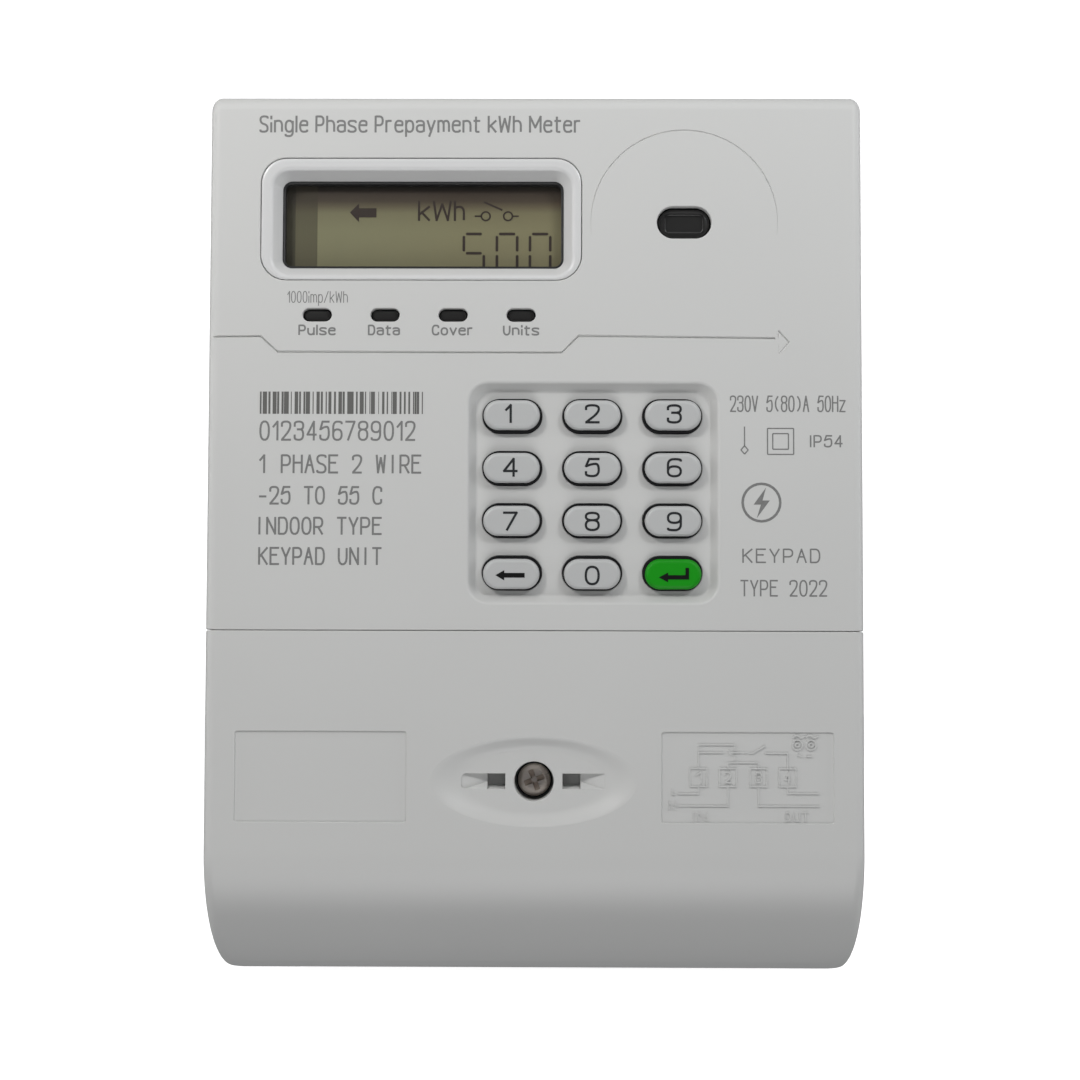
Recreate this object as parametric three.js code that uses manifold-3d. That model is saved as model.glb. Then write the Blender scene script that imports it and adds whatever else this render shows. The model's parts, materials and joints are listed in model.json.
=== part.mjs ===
// Prepaid electricity meter with keypad, for a wall or a meter board.
//
// Millimetres. X runs right and Z up as seen from the front, and the front looks along -Y.
// The origin is the centre of the flat back that lies against the wall.
//
// A tray (base) carries the terminal block and the boards. The main cover closes the upper part,
// and the terminal cover, held by one sealable screw, closes the wiring space below the seam.

import * as THREE from 'three';
import { mergeVertices } from 'three/addons/utils/BufferGeometryUtils.js';
import Module from 'manifold-3d';

const wasm = await Module();
wasm.setup();

// ---- driving dimensions -------------------------------------------------------------------------

const WIDTH = 126;
const HEIGHT = 172;
const DEPTH = 56;
const HALF = WIDTH / 2;
const TOP = HEIGHT / 2;
const BOTTOM = -TOP;
const FRONT = -DEPTH;
const PARTING = -16;            // y where the covers meet the base
const SEAM = -17.2;             // z where the main cover meets the terminal cover
const WALL = 2.2;
const FLOOR = 2.4;
const CORNER = 2.8;             // corner radius in front view
const EDGE = 2;                 // rounding of the front rim
const GAP = 0.3;                // clearance between neighbouring pieces
const ROOM = 5;                 // how far a cutter runs past the face it opens
const CAVITY_FRONT = FRONT + WALL;

// Sweep of the terminal cover's bottom: a quarter of a superellipse from the front face to the
// parting line. A power of 2 is an ellipse, and less than 2 is flatter.
const SWEEP_HEIGHT = 24;
const SWEEP_DEPTH = PARTING - FRONT;
const SWEEP_POWER = 1.7;

// Display window
const BEZEL = { left: -53.1, right: 9, bottom: 50, top: 73.9, radius: 5 };
const VIEW = { left: -49.1, right: 5.45, bottom: 52.8, top: 69.85, radius: 1.8 };
const VIEW_DEPTH = 2.5;
const VIEW_FLARE = 1.85;
const BEZEL_FLANGE = 2;
const WINDOW_FRONT = FRONT + 3.1;
const WINDOW_BACK = FRONT + 4.3;

// Indicator slots and optical port
const LED_Z = 43.3;
const LED_NAMES = ['led_pulse', 'led_data', 'led_cover', 'led_credit'];
const LED_FIRST_X = -42;
const LED_PITCH = 13.1;
const LED_SLOT = { width: 5.6, height: 2.55 };
const PORT = { x: 28.7, z: 61.35, width: 10.5, height: 6.2 };
const PIPE_BACK = FRONT + 4.4;

// Keypad
const KEY_ROWS = [['key_1', 'key_2', 'key_3'], ['key_4', 'key_5', 'key_6'],
  ['key_7', 'key_8', 'key_9'], ['key_back', 'key_0', 'key_enter']];
const KEY_COLUMN_PITCH = 15.4;
const KEY_ROW_PITCH = 10.07;
const KEY_LEFT_X = -4.35;
const KEY_TOP_Z = 23.9;
const KEY_CAP = { width: 11.05, height: 6.2 };
const KEY_HOLE = { width: 11.9, height: 7.2 };
const KEY_FLANGE = { width: 13.1, height: 8.3 };
const KEY_TRAVEL = 1.2;
const PAD = { left: -10.4, right: 33.6, bottom: -10, top: 27.6, radius: 3.6 };
const PAD_DEPTH = 2.1;
const PAD_FLARE = 1.8;
const PAD_WALL = 1.8;

// Terminal cover front
const SCREW_Z = -46.1;
const DISH = { width: 39.4, height: 17.2, depth: 1.3, flare: 4.5 };
const LABELS = [{ left: -57, right: -24.3 }, { left: 24.3, right: 57 }];
const LABEL_Z = { bottom: -53.9, top: -36.6 };
const LABEL_DEPTH = 0.4;
const SEAL_TUBE_RADIUS = 5.5;
const SEAL_HOLE_RADIUS = 3.75;
const SEAL_SEAT = FRONT + 11.4;      // y of the seat that the screw pulls against
const SEAL_FLOOR = 2;
const WIRE_SLOT = { inner: 5.4, outer: 14, height: 2.9, depth: 3.5 };

// Terminals
const BLOCK = { half: 51.5, back: -FLOOR - GAP, front: -39.7, bottom: -60, top: -14 };
const TERMINAL_PITCH = 24;
const TERMINAL_X = [-1.5, -0.5, 0.5, 1.5].map((step) => step * TERMINAL_PITCH);
const CAGE = { half: 7, back: -15, front: -29, bottom: -54, top: -24 };
const CAGE_Y = (CAGE.back + CAGE.front) / 2;
const BORE_RADIUS = 4.5;
const TAIL = { half: 5, back: -20, front: -21.5, top: -4 };
const CLAMP_Z = [-33, -47];
const CLAMP_HEAD_RADIUS = 3.3;
const CLAMP_SHANK_RADIUS = 2.6;
const BAR = { back: -21.8, front: -23.3 };
const CABLE_SLOT = { half: 48, back: -3.5, front: -27 };

// Tamper switch
const TAMPER = { x: 24, z: -30 };

// Boards
const MAIN_BOARD = { back: -12, front: -13.6 };
const DISPLAY_BOARD = { back: -42.6, front: -44.2 };

// Case screws, lower fixing holes and posts that carry the main board
const CASE_SCREW = { x: 55.5, z: -23 };
const FIXING_HOLE = { x: 54.5, z: -70, radius: 2.6 };
const POST = { x: 48, z: [2, 74], radius: 3 };
const EAR_FRONT = PARTING - 3.3;

// Hanger
const HANGER = { half: 10, back: -0.8, front: -2.8, bottom: 52, top: 84 };
const HOOK = { radius: 2.8, belowTop: 5.5 };
const HANGER_RECESS_HALF = 7.5;
const HANGER_HOUSING = { half: 13, front: -6.2, bottom: 46 };

// ---- finishes -----------------------------------------------------------------------------------

function finish(color, roughness, metalness = 0) {
  return new THREE.MeshStandardMaterial({ color, roughness, metalness });
}

const CASE_PLASTIC = finish(0xd6d6d3, 0.5);
const BEZEL_PLASTIC = finish(0xdededd, 0.25);
const KEY_PLASTIC = finish(0xb9bab8, 0.45);
const ENTER_PLASTIC = finish(0x23902c, 0.45);
const SMOKED_PLASTIC = finish(0x1b1b1a, 0.15);
const CLEAR_PLASTIC = finish(0xcfd6cf, 0.05);
const BLACK_PLASTIC = finish(0x202122, 0.5);
const RUBBER = finish(0x3b3d3f, 0.8);
const BOARD = finish(0x1f5a34, 0.5);
const DISPLAY_GLASS = finish(0x77745c, 0.2);
const NICKEL = finish(0xb8b6b0, 0.3, 1);
const BRASS = finish(0xb08d45, 0.35, 1);
const COPPER = finish(0xb06a45, 0.35, 1);
const ZINC = finish(0x9a9c9e, 0.4, 1);
const WINDING = finish(0xc9a227, 0.6);
const LED_RESIN = finish(0xb63a30, 0.3);

// ---- solids -------------------------------------------------------------------------------------

// A closed three.js geometry as a manifold solid.
function solid(geometry) {
  geometry.deleteAttribute('normal');
  geometry.deleteAttribute('uv');
  const merged = mergeVertices(geometry, 1e-4);
  const triangles = [];
  for (let i = 0; i < merged.index.count; i += 3) {
    const [a, b, c] = [0, 1, 2].map((corner) => merged.index.getX(i + corner));
    if (a !== b && b !== c && c !== a) triangles.push(a, b, c);
  }
  return new wasm.Manifold(new wasm.Mesh({
    numProp: 3,
    vertProperties: new Float32Array(merged.attributes.position.array),
    triVerts: new Uint32Array(triangles),
  }));
}

function geometryOf(manifold) {
  const mesh = manifold.getMesh();
  const geometry = new THREE.BufferGeometry();
  geometry.setAttribute('position', new THREE.BufferAttribute(new Float32Array(mesh.vertProperties), 3));
  geometry.setIndex(new THREE.BufferAttribute(new Uint32Array(mesh.triVerts), 1));
  return geometry;
}

function block(x0, x1, y0, y1, z0, z1) {
  const box = new THREE.BoxGeometry(Math.abs(x1 - x0), Math.abs(y1 - y0), Math.abs(z1 - z0));
  return solid(box.translate((x0 + x1) / 2, (y0 + y1) / 2, (z0 + z1) / 2));
}

// Outline in front view (x, z) with the four corners rounded.
function roundedRect(left, right, bottom, top, radius, segments = 4) {
  const corners = [[right - radius, bottom + radius, -90], [right - radius, top - radius, 0],
    [left + radius, top - radius, 90], [left + radius, bottom + radius, 180]];
  const points = [];
  for (const [x, z, start] of corners) {
    for (let i = 0; i <= segments; i += 1) {
      const angle = THREE.MathUtils.degToRad(start + (90 * i) / segments);
      const point = new THREE.Vector2(x + radius * Math.cos(angle), z + radius * Math.sin(angle));
      const last = points[points.length - 1];
      if (!last || last.distanceTo(point) > 1e-6) points.push(point);
    }
  }
  if (points[0].distanceTo(points[points.length - 1]) < 1e-6) points.pop();
  return new THREE.Shape(points);
}

function stadium(x, z, width, height, segments = 3) {
  const radius = height / 2;
  return roundedRect(x - width / 2, x + width / 2, z - radius, z + radius, radius, segments);
}

function ellipse(x, z, width, height, segments = 32) {
  const points = [];
  for (let i = 0; i < segments; i += 1) {
    const angle = (2 * Math.PI * i) / segments;
    points.push(new THREE.Vector2(x + (width / 2) * Math.cos(angle), z + (height / 2) * Math.sin(angle)));
  }
  return new THREE.Shape(points);
}

// Front-view outline extruded from y = back forward to y = front.
function slab(shape, back, front) {
  const geometry = new THREE.ExtrudeGeometry(shape, { depth: back - front, bevelEnabled: false });
  return solid(geometry.rotateX(Math.PI / 2).translate(0, back, 0));
}

// The same with a rounded front rim.
function roundedSlab(shape, back, front, radius, segments = 3) {
  const geometry = new THREE.ExtrudeGeometry(shape, {
    depth: back - front - radius,
    bevelThickness: radius,
    bevelSize: radius,
    bevelOffset: -radius,
    bevelSegments: segments,
  });
  const body = solid(geometry.rotateX(Math.PI / 2).translate(0, back, 0));
  return body.subtract(block(-HEIGHT, HEIGHT, back, back + radius + ROOM, -HEIGHT, HEIGHT));
}

// Cutter for a recess whose floor has the given outline and whose walls flare out to the face.
function flaredCutter(shape, floor, face, flare) {
  const geometry = new THREE.ExtrudeGeometry(shape, {
    depth: ROOM,
    bevelThickness: floor - face,
    bevelSize: flare,
    bevelSegments: 1,
  });
  return solid(geometry.rotateX(Math.PI / 2).translate(0, face, 0));
}

// Round piece on an axis along Y; the profile is a list of [radius, y] from axis to axis.
function turned(profile, x = 0, z = 0, sides = 20) {
  const points = profile.map(([radius, y]) => new THREE.Vector2(radius, y));
  return solid(new THREE.LatheGeometry(points, sides).translate(x, 0, z));
}

function rod(radius, back, front, x, z, sides = 20) {
  return turned([[0, front], [radius, front], [radius, back], [0, back]], x, z, sides);
}

function uprightRod(radius, bottom, top, x, y, sides = 20) {
  const cylinder = new THREE.CylinderGeometry(radius, radius, top - bottom, sides);
  return solid(cylinder.rotateX(Math.PI / 2).translate(x, y, (bottom + top) / 2));
}

function crossRod(radius, left, right, y, z, sides = 20) {
  const cylinder = new THREE.CylinderGeometry(radius, radius, right - left, sides);
  return solid(cylinder.rotateZ(Math.PI / 2).translate((left + right) / 2, y, z));
}

// ---- assembly -----------------------------------------------------------------------------------

const meter = new THREE.Group();

function add(name, manifold, material, x = 0, z = 0) {
  const mesh = new THREE.Mesh(geometryOf(manifold), material);
  mesh.name = name;
  mesh.position.set(x, 0, z);
  meter.add(mesh);
}

// U-shaped strip that follows the case wall at the given inset, open above the terminal block.
function sealStrip(outerInset, innerInset, back, front) {
  const outline = (inset) => roundedRect(-HALF + inset, HALF - inset, BOTTOM, TOP - inset, 1.2, 2);
  const strip = slab(outline(outerInset), back, front).subtract(
    slab(outline(innerInset), back + ROOM, front - ROOM));
  return strip.subtract(block(-WIDTH, WIDTH, back + ROOM, front - ROOM, BOTTOM - ROOM, -12));
}

function base() {
  let tray = slab(roundedRect(-HALF, HALF, BOTTOM, TOP, CORNER), 0, PARTING);
  const inside = roundedRect(-HALF + WALL, HALF - WALL, BOTTOM + WALL, TOP - WALL, 1);
  tray = tray.subtract(slab(inside, -FLOOR, PARTING - ROOM));
  tray = tray.add(sealStrip(2, 4.4, -FLOOR + 0.4, -13));

  // Housing and T-slot of the hanger
  tray = tray.add(block(-HANGER_HOUSING.half, HANGER_HOUSING.half, -FLOOR + 0.4, HANGER_HOUSING.front,
    HANGER_HOUSING.bottom, TOP - 2));
  const slotHalf = HANGER.half + GAP;
  tray = tray.subtract(block(-slotHalf, slotHalf, HANGER.back + GAP, HANGER.front - GAP,
    HANGER.bottom - GAP, TOP + ROOM));
  tray = tray.subtract(block(-HANGER_RECESS_HALF, HANGER_RECESS_HALF, ROOM, HANGER.back,
    HANGER.bottom - GAP, TOP + ROOM));

  // Board posts, screw bosses and lower fixing holes
  for (const side of [-1, 1]) {
    for (const z of POST.z) {
      tray = tray.add(rod(POST.radius, -FLOOR + 0.4, MAIN_BOARD.back + GAP, side * POST.x, z, 12));
    }
    tray = tray.add(rod(3.5, -FLOOR + 0.4, PARTING + GAP, side * CASE_SCREW.x, CASE_SCREW.z));
    tray = tray.subtract(rod(1.8, -5, PARTING - ROOM, side * CASE_SCREW.x, CASE_SCREW.z, 12));
    tray = tray.subtract(rod(FIXING_HOLE.radius, ROOM, -FLOOR - ROOM, side * FIXING_HOLE.x, FIXING_HOLE.z));
  }

  // Cable entry at the bottom
  return tray.subtract(block(-CABLE_SLOT.half, CABLE_SLOT.half, CABLE_SLOT.back, PARTING - ROOM,
    BOTTOM - ROOM, BOTTOM + WALL + 1));
}

function keyPlaces() {
  const places = [];
  KEY_ROWS.forEach((row, down) => row.forEach((name, across) => places.push({
    name,
    x: KEY_LEFT_X + across * KEY_COLUMN_PITCH,
    z: KEY_TOP_Z - down * KEY_ROW_PITCH,
  })));
  return places;
}

function ledPlaces() {
  return LED_NAMES.map((name, i) => ({ name, x: LED_FIRST_X + i * LED_PITCH }));
}

function mainCover() {
  const back = PARTING - GAP;
  const floorZ = SEAM + WALL;
  let cover = roundedSlab(roundedRect(-HALF, HALF, SEAM - 10, TOP, CORNER), back, FRONT, EDGE);
  cover = cover.subtract(block(-WIDTH, WIDTH, ROOM, FRONT - ROOM, SEAM - 20, SEAM));
  const inside = roundedRect(-HALF + WALL, HALF - WALL, floorZ, TOP - WALL, 1, 2);
  cover = cover.subtract(slab(inside, back + ROOM, CAVITY_FRONT));

  // Tongue that presses on the seal
  cover = cover.add(sealStrip(2.5, 4.1, PARTING + 0.4, PARTING - 4));
  cover = cover.add(sealStrip(2, 4.1, PARTING - 0.6, PARTING - 4));

  // Keypad recess, backed by a thicker wall, and its holes
  const recessFloor = FRONT + PAD_DEPTH;
  cover = cover.add(block(PAD.left - 3.6, PAD.right + 3.6, recessFloor + PAD_WALL,
    CAVITY_FRONT - 0.5, PAD.bottom - 4, PAD.top + 4));
  cover = cover.subtract(flaredCutter(
    roundedRect(PAD.left, PAD.right, PAD.bottom, PAD.top, PAD.radius), recessFloor, FRONT, PAD_FLARE));
  for (const key of keyPlaces()) {
    cover = cover.subtract(slab(stadium(key.x, key.z, KEY_HOLE.width, KEY_HOLE.height),
      recessFloor + ROOM, FRONT));
  }

  // Window, indicator slots and optical port
  const { left, right, bottom, top, radius } = BEZEL;
  cover = cover.subtract(slab(roundedRect(left, right, bottom, top, radius),
    CAVITY_FRONT + ROOM, FRONT - ROOM));
  for (const led of ledPlaces()) {
    cover = cover.subtract(slab(stadium(led.x, LED_Z, LED_SLOT.width, LED_SLOT.height),
      CAVITY_FRONT + ROOM, FRONT - ROOM));
  }
  cover = cover.subtract(slab(stadium(PORT.x, PORT.z, PORT.width, PORT.height),
    CAVITY_FRONT + ROOM, FRONT - ROOM));

  // Neck of the terminal block, and ears for the case screws
  cover = cover.subtract(block(-BLOCK.half - 0.5, BLOCK.half + 0.5, ROOM, BLOCK.front - 0.5,
    SEAM - ROOM, floorZ + 1));
  for (const side of [-1, 1]) {
    cover = cover.add(block(side * 52.2, side * 59.8, back, EAR_FRONT, -27, SEAM + 1));
    cover = cover.subtract(rod(2.1, ROOM, EAR_FRONT - ROOM, side * CASE_SCREW.x, CASE_SCREW.z));
  }
  return cover;
}

// Prism from the side-view outline of the terminal cover, inset by `inset`, run back past the base.
function coverProfile(inset, topZ, halfWidth) {
  const points = [new THREE.Vector2(ROOM, topZ), new THREE.Vector2(FRONT + inset, topZ)];
  const steps = 12;
  for (let i = 0; i <= steps; i += 1) {
    const angle = (Math.PI / 2) * (i / steps);
    const back = Math.abs(Math.cos(angle)) ** (2 / SWEEP_POWER);
    const down = Math.sin(angle) ** (2 / SWEEP_POWER);
    points.push(new THREE.Vector2(PARTING - (SWEEP_DEPTH - inset) * back,
      BOTTOM + SWEEP_HEIGHT - (SWEEP_HEIGHT - inset) * down));
  }
  points.push(new THREE.Vector2(ROOM, BOTTOM + inset));
  const geometry = new THREE.ExtrudeGeometry(new THREE.Shape(points), {
    depth: 2 * halfWidth, bevelEnabled: false,
  });
  // Outline axes (y, z) and extrusion x: turn local (x, y, z) into (z, x, y).
  geometry.applyMatrix4(new THREE.Matrix4().set(0, 0, 1, -halfWidth, 1, 0, 0, 0, 0, 1, 0, 0, 0, 0, 0, 1));
  return solid(geometry);
}

function terminalCover() {
  const back = PARTING - GAP;
  const top = SEAM - 0.4;
  const outer = coverProfile(0, top, HALF);
  const rims = roundedSlab(roundedRect(-HALF, HALF, BOTTOM - 10, top + 10, 0), back, FRONT, EDGE);
  let cover = outer.intersect(rims);
  cover = cover.subtract(coverProfile(WALL, top + ROOM, HALF - WALL));

  // Dished panel round the screw, with the screw's tube behind it
  cover = cover.add(slab(ellipse(0, SCREW_Z, DISH.width + 4, DISH.height + 4),
    FRONT + 4.4, CAVITY_FRONT - 0.5));
  cover = cover.add(rod(SEAL_TUBE_RADIUS, SEAL_SEAT + SEAL_FLOOR, CAVITY_FRONT - 0.5, 0, SCREW_Z));
  cover = cover.subtract(flaredCutter(
    ellipse(0, SCREW_Z, DISH.width - 2 * DISH.flare, DISH.height - 2 * DISH.flare),
    FRONT + DISH.depth, FRONT, DISH.flare));
  cover = cover.subtract(rod(SEAL_HOLE_RADIUS, SEAL_SEAT, FRONT - ROOM, 0, SCREW_Z));
  cover = cover.subtract(rod(2.4, SEAL_SEAT + ROOM, FRONT, 0, SCREW_Z));

  // Ramps that lead the seal wire into the panel
  for (const side of [-1, 1]) {
    const dishFloor = FRONT + DISH.depth;
    const wedge = new THREE.Shape([
      new THREE.Vector2(side * WIRE_SLOT.outer, dishFloor),
      new THREE.Vector2(side * WIRE_SLOT.outer, FRONT - 1),
      new THREE.Vector2(side * WIRE_SLOT.inner, FRONT - 1),
      new THREE.Vector2(side * WIRE_SLOT.inner, dishFloor + WIRE_SLOT.depth)]);
    const prism = new THREE.ExtrudeGeometry(wedge, { depth: WIRE_SLOT.height, bevelEnabled: false });
    cover = cover.subtract(solid(prism.translate(0, 0, SCREW_Z - WIRE_SLOT.height / 2)));
  }

  // Label recesses, rib for the tamper plunger and cable opening
  for (const label of LABELS) {
    cover = cover.subtract(slab(roundedRect(label.left, label.right, LABEL_Z.bottom, LABEL_Z.top, 1),
      FRONT + LABEL_DEPTH, FRONT - ROOM));
  }
  cover = cover.add(block(TAMPER.x - 1, TAMPER.x + 1, -43.3, CAVITY_FRONT - 0.5, TAMPER.z - 1, TAMPER.z + 1));
  return cover.subtract(block(-CABLE_SLOT.half, CABLE_SLOT.half, ROOM, CABLE_SLOT.front,
    BOTTOM - ROOM, BOTTOM + 9));
}

function windowBezel() {
  const { left, right, bottom, top, radius } = BEZEL;
  const back = CAVITY_FRONT + BEZEL_FLANGE + GAP;
  let bezel = slab(roundedRect(left + GAP, right - GAP, bottom + GAP, top - GAP, radius - GAP), back, FRONT);
  bezel = bezel.add(slab(roundedRect(left - 1.7, right + 1.7, bottom - 1.7, top + 1.7, radius),
    back, CAVITY_FRONT + GAP));
  const view = roundedRect(VIEW.left, VIEW.right, VIEW.bottom, VIEW.top, VIEW.radius);
  bezel = bezel.subtract(flaredCutter(view, FRONT + VIEW_DEPTH, FRONT, VIEW_FLARE));
  bezel = bezel.subtract(slab(view, back + ROOM, FRONT));
  return bezel.subtract(slab(
    roundedRect(VIEW.left - 1.5, VIEW.right + 1.5, VIEW.bottom - 1.5, VIEW.top + 1.5, 1.5),
    back + ROOM, WINDOW_FRONT - GAP));
}

function lcdWindow() {
  const margin = 1.2;
  return slab(roundedRect(VIEW.left - margin, VIEW.right + margin, VIEW.bottom - margin,
    VIEW.top + margin, 1.2), WINDOW_BACK, WINDOW_FRONT);
}

function ledLightPipe() {
  const places = ledPlaces();
  const last = places[places.length - 1].x;
  let pipe = block(places[0].x - 4, last + 4, PIPE_BACK, CAVITY_FRONT + GAP, LED_Z - 1.7, LED_Z + 1.7);
  for (const led of places) {
    pipe = pipe.add(slab(stadium(led.x, LED_Z, LED_SLOT.width - 2 * GAP, LED_SLOT.height - 2 * GAP),
      PIPE_BACK, FRONT + 0.8));
  }
  return pipe;
}

function irLens() {
  const { x, z, width, height } = PORT;
  const flange = slab(stadium(x, z, width + 2.2, height + 2), PIPE_BACK, CAVITY_FRONT + GAP);
  return flange.add(slab(stadium(x, z, width - 2 * GAP, height - 2 * GAP), PIPE_BACK, FRONT + 1.1));
}

// Keys are modelled on the Y axis and placed by their mesh position.
function keyCap() {
  const flangeFront = FRONT + PAD_DEPTH + PAD_WALL + GAP;
  const flangeBack = flangeFront + 1.2;
  const cap = roundedSlab(stadium(0, 0, KEY_CAP.width, KEY_CAP.height, 3), flangeBack, FRONT + 0.1, 0.8, 2);
  const flange = slab(stadium(0, 0, KEY_FLANGE.width, KEY_FLANGE.height, 2), flangeBack, flangeFront);
  const stem = slab(stadium(0, 0, 6, 3.5, 2), DISPLAY_BOARD.front - 2 - KEY_TRAVEL, flangeBack - 0.5);
  return cap.add(flange).add(stem);
}

function keypadMat() {
  const back = DISPLAY_BOARD.front - GAP;
  return slab(roundedRect(PAD.left - 2, PAD.right + 2, PAD.bottom - 2.4, PAD.top + 2.4, 2),
    back, back - 1.5);
}

function sealScrew() {
  const headBack = SEAL_SEAT - 1.4;
  const headFront = headBack - 2.4;
  let screw = turned([[0, headFront], [1.6, headFront], [2.6, headFront + 0.5], [3.2, headFront + 1.3],
    [3.2, headBack], [1.95, headBack], [1.95, headBack + 16.4], [1.3, headBack + 17.2], [0, headBack + 17.2]],
  0, SCREW_Z, 14);
  for (const angle of [0, 90]) {
    const blade = new THREE.BoxGeometry(0.7, 2.8, 3.6);
    blade.rotateY(THREE.MathUtils.degToRad(angle)).translate(0, headFront, SCREW_Z);
    screw = screw.subtract(solid(blade));
  }
  return screw;
}

function sealScrewWasher() {
  const ring = rod(3.4, SEAL_SEAT - GAP, SEAL_SEAT - GAP - 0.8, 0, SCREW_Z);
  return ring.subtract(rod(2.25, SEAL_SEAT + ROOM, SEAL_SEAT - ROOM, 0, SCREW_Z));
}

function caseScrew() {
  const headBack = EAR_FRONT - GAP;
  const screw = turned([[0, headBack - 2.4], [2.4, headBack - 2.4], [3.2, headBack - 1.4], [3.2, headBack],
    [1.5, headBack], [1.5, -6.2], [0, -5.4]], 0, 0, 16);
  return screw.subtract(block(-0.4, 0.4, headBack - ROOM, headBack - 1.2, -2.2, 2.2));
}

function hanger() {
  const plate = slab(roundedRect(-HANGER.half, HANGER.half, HANGER.bottom, HANGER.top, 3), HANGER.back,
    HANGER.front);
  const hook = rod(HOOK.radius, ROOM, HANGER.front - ROOM, 0, HANGER.top - HOOK.belowTop);
  const slot = slab(stadium(0, HANGER.bottom + 8, 14, 3), ROOM, HANGER.front - ROOM);
  return plate.subtract(hook).subtract(slot);
}

function terminalBlock() {
  let body = block(-BLOCK.half, BLOCK.half, BLOCK.back, BLOCK.front, BLOCK.bottom, BLOCK.top);
  for (const x of TERMINAL_X) {
    body = body.subtract(block(x - CAGE.half - GAP, x + CAGE.half + GAP, CAGE.back + GAP,
      CAGE.front - GAP, CAGE.bottom - GAP, BLOCK.top + 1));
    body = body.subtract(uprightRod(BORE_RADIUS + 0.25, BLOCK.bottom - 1, CAGE.bottom + 1, x, CAGE_Y, 16));
    for (const z of CLAMP_Z) {
      body = body.subtract(rod(CLAMP_HEAD_RADIUS + 0.4, CAGE.front + 1, BLOCK.front - 1, x, z, 12));
    }
  }

  // Tapped boss for the cover screw
  body = body.add(rod(4.5, BLOCK.front + 1, SEAL_SEAT + SEAL_FLOOR + GAP, 0, SCREW_Z));
  body = body.subtract(rod(2.25, -25, BLOCK.front - ROOM, 0, SCREW_Z, 16));

  // Pocket for the tamper switch
  return body.subtract(block(TAMPER.x - 3.3, TAMPER.x + 3.3, -33, BLOCK.front - 1,
    TAMPER.z - 5.3, TAMPER.z + 5.3));
}

function terminalCage() {
  let cage = block(-CAGE.half, CAGE.half, CAGE.back, CAGE.front, CAGE.bottom, CAGE.top);
  cage = cage.subtract(uprightRod(BORE_RADIUS, CAGE.bottom - 1, CAGE.top - 4, 0, CAGE_Y, 16));
  for (const z of CLAMP_Z) {
    cage = cage.subtract(rod(CLAMP_SHANK_RADIUS + GAP, CAGE_Y, CAGE.front - 1, 0, z, 12));
  }
  return cage.add(block(-TAIL.half, TAIL.half, TAIL.back, TAIL.front, CAGE.top - 1, TAIL.top));
}

// Clamp screw on the Y axis, with a slot across its head.
function terminalScrew() {
  const headFront = -38.5;
  const screw = turned([[0, headFront], [CLAMP_HEAD_RADIUS, headFront], [CLAMP_HEAD_RADIUS, headFront + 3],
    [CLAMP_SHANK_RADIUS, headFront + 3], [CLAMP_SHANK_RADIUS, -27], [1.8, -26.5], [0, -26.5]], 0, 0, 12);
  return screw.subtract(block(-0.5, 0.5, headFront - 1, headFront + 1.3, -CLAMP_HEAD_RADIUS - 1,
    CLAMP_HEAD_RADIUS + 1));
}

function tamperSwitch() {
  const body = block(TAMPER.x - 3, TAMPER.x + 3, -33.3, -40.5, TAMPER.z - 5, TAMPER.z + 5);
  return body.subtract(rod(1.5, -36, -42, TAMPER.x, TAMPER.z, 16));
}

function tamperPlunger() {
  return turned([[0, -43], [0.7, -43], [1.1, -42.5], [1.1, -37], [0, -37]], TAMPER.x, TAMPER.z, 12);
}

function auxTerminal() {
  let strip = block(43.5, 51, BLOCK.front - GAP, -47, -33, -23);
  for (const z of [-30.5, -25.5]) {
    strip = strip.subtract(rod(1.5, -44, -48, 47.3, z, 12));
  }
  return strip;
}

function relayCase() {
  const shell = block(-50, -14, -14, -34, 8, 38);
  return shell.subtract(block(-48.8, -15.2, -15.2, -34 - ROOM, 9.2, 36.8));
}

function relayCoil() {
  return crossRod(6, -46.6, -29.4, -24, 17).add(crossRod(7, -47.4, -46.2, -24, 17))
    .add(crossRod(7, -29.8, -28.6, -24, 17));
}

const RELAY_PIVOT = { x: -23, z: 22 };
const CONTACT_PIVOT = { x: -19.3, z: 12.5 };

function relayRocker() {
  const { x, z } = RELAY_PIVOT;
  return block(x - 1.5, x + 1.5, -19, -29, z - 9, z + 9).add(rod(2.2, -17.5, -30.5, x, z, 16));
}

function relayContactArm() {
  const { x, z } = CONTACT_PIVOT;
  const blade = block(x - 0.3, x + 0.3, -20, -28, z - 2, z + 21);
  return blade.add(block(x, x + 1.1, -22, -26, z + 17.5, z + 20)).add(rod(0.9, -19, -29, x, z, 12));
}

function supplyTransformer() {
  const core = block(12, 40, -18, -32, 22, 46);
  return core.add(block(17, 35, -14, -36, 26, 42));
}

function buzzer() {
  const can = rod(6, MAIN_BOARD.front - GAP, -22, 47, 62);
  return can.subtract(rod(1, -19, -23, 47, 62, 12));
}

function backupBattery() {
  return crossRod(7.2, -14, 11, -22, 62).add(crossRod(2.6, 10, 12.6, -22, 62, 12));
}

function currentShunt() {
  const strip = block(-41, -31, BAR.back, BAR.front, -12, 6.5);
  const waist = (left, right) => block(left, right, ROOM, BAR.front - ROOM, -5, 1);
  return strip.subtract(waist(-42, -38.5)).subtract(waist(-33.5, -30));
}

function loadBar() {
  return block(-13.7, 41, BAR.back, BAR.front, 12, 18).add(block(31, 41, BAR.back, BAR.front, -12, 18));
}

function led() {
  const back = DISPLAY_BOARD.front - GAP;
  return turned([[0, back - 5], [0.9, back - 4.7], [1.5, back - 3.6], [1.5, back], [0, back]], 0, 0, 12);
}

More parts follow.
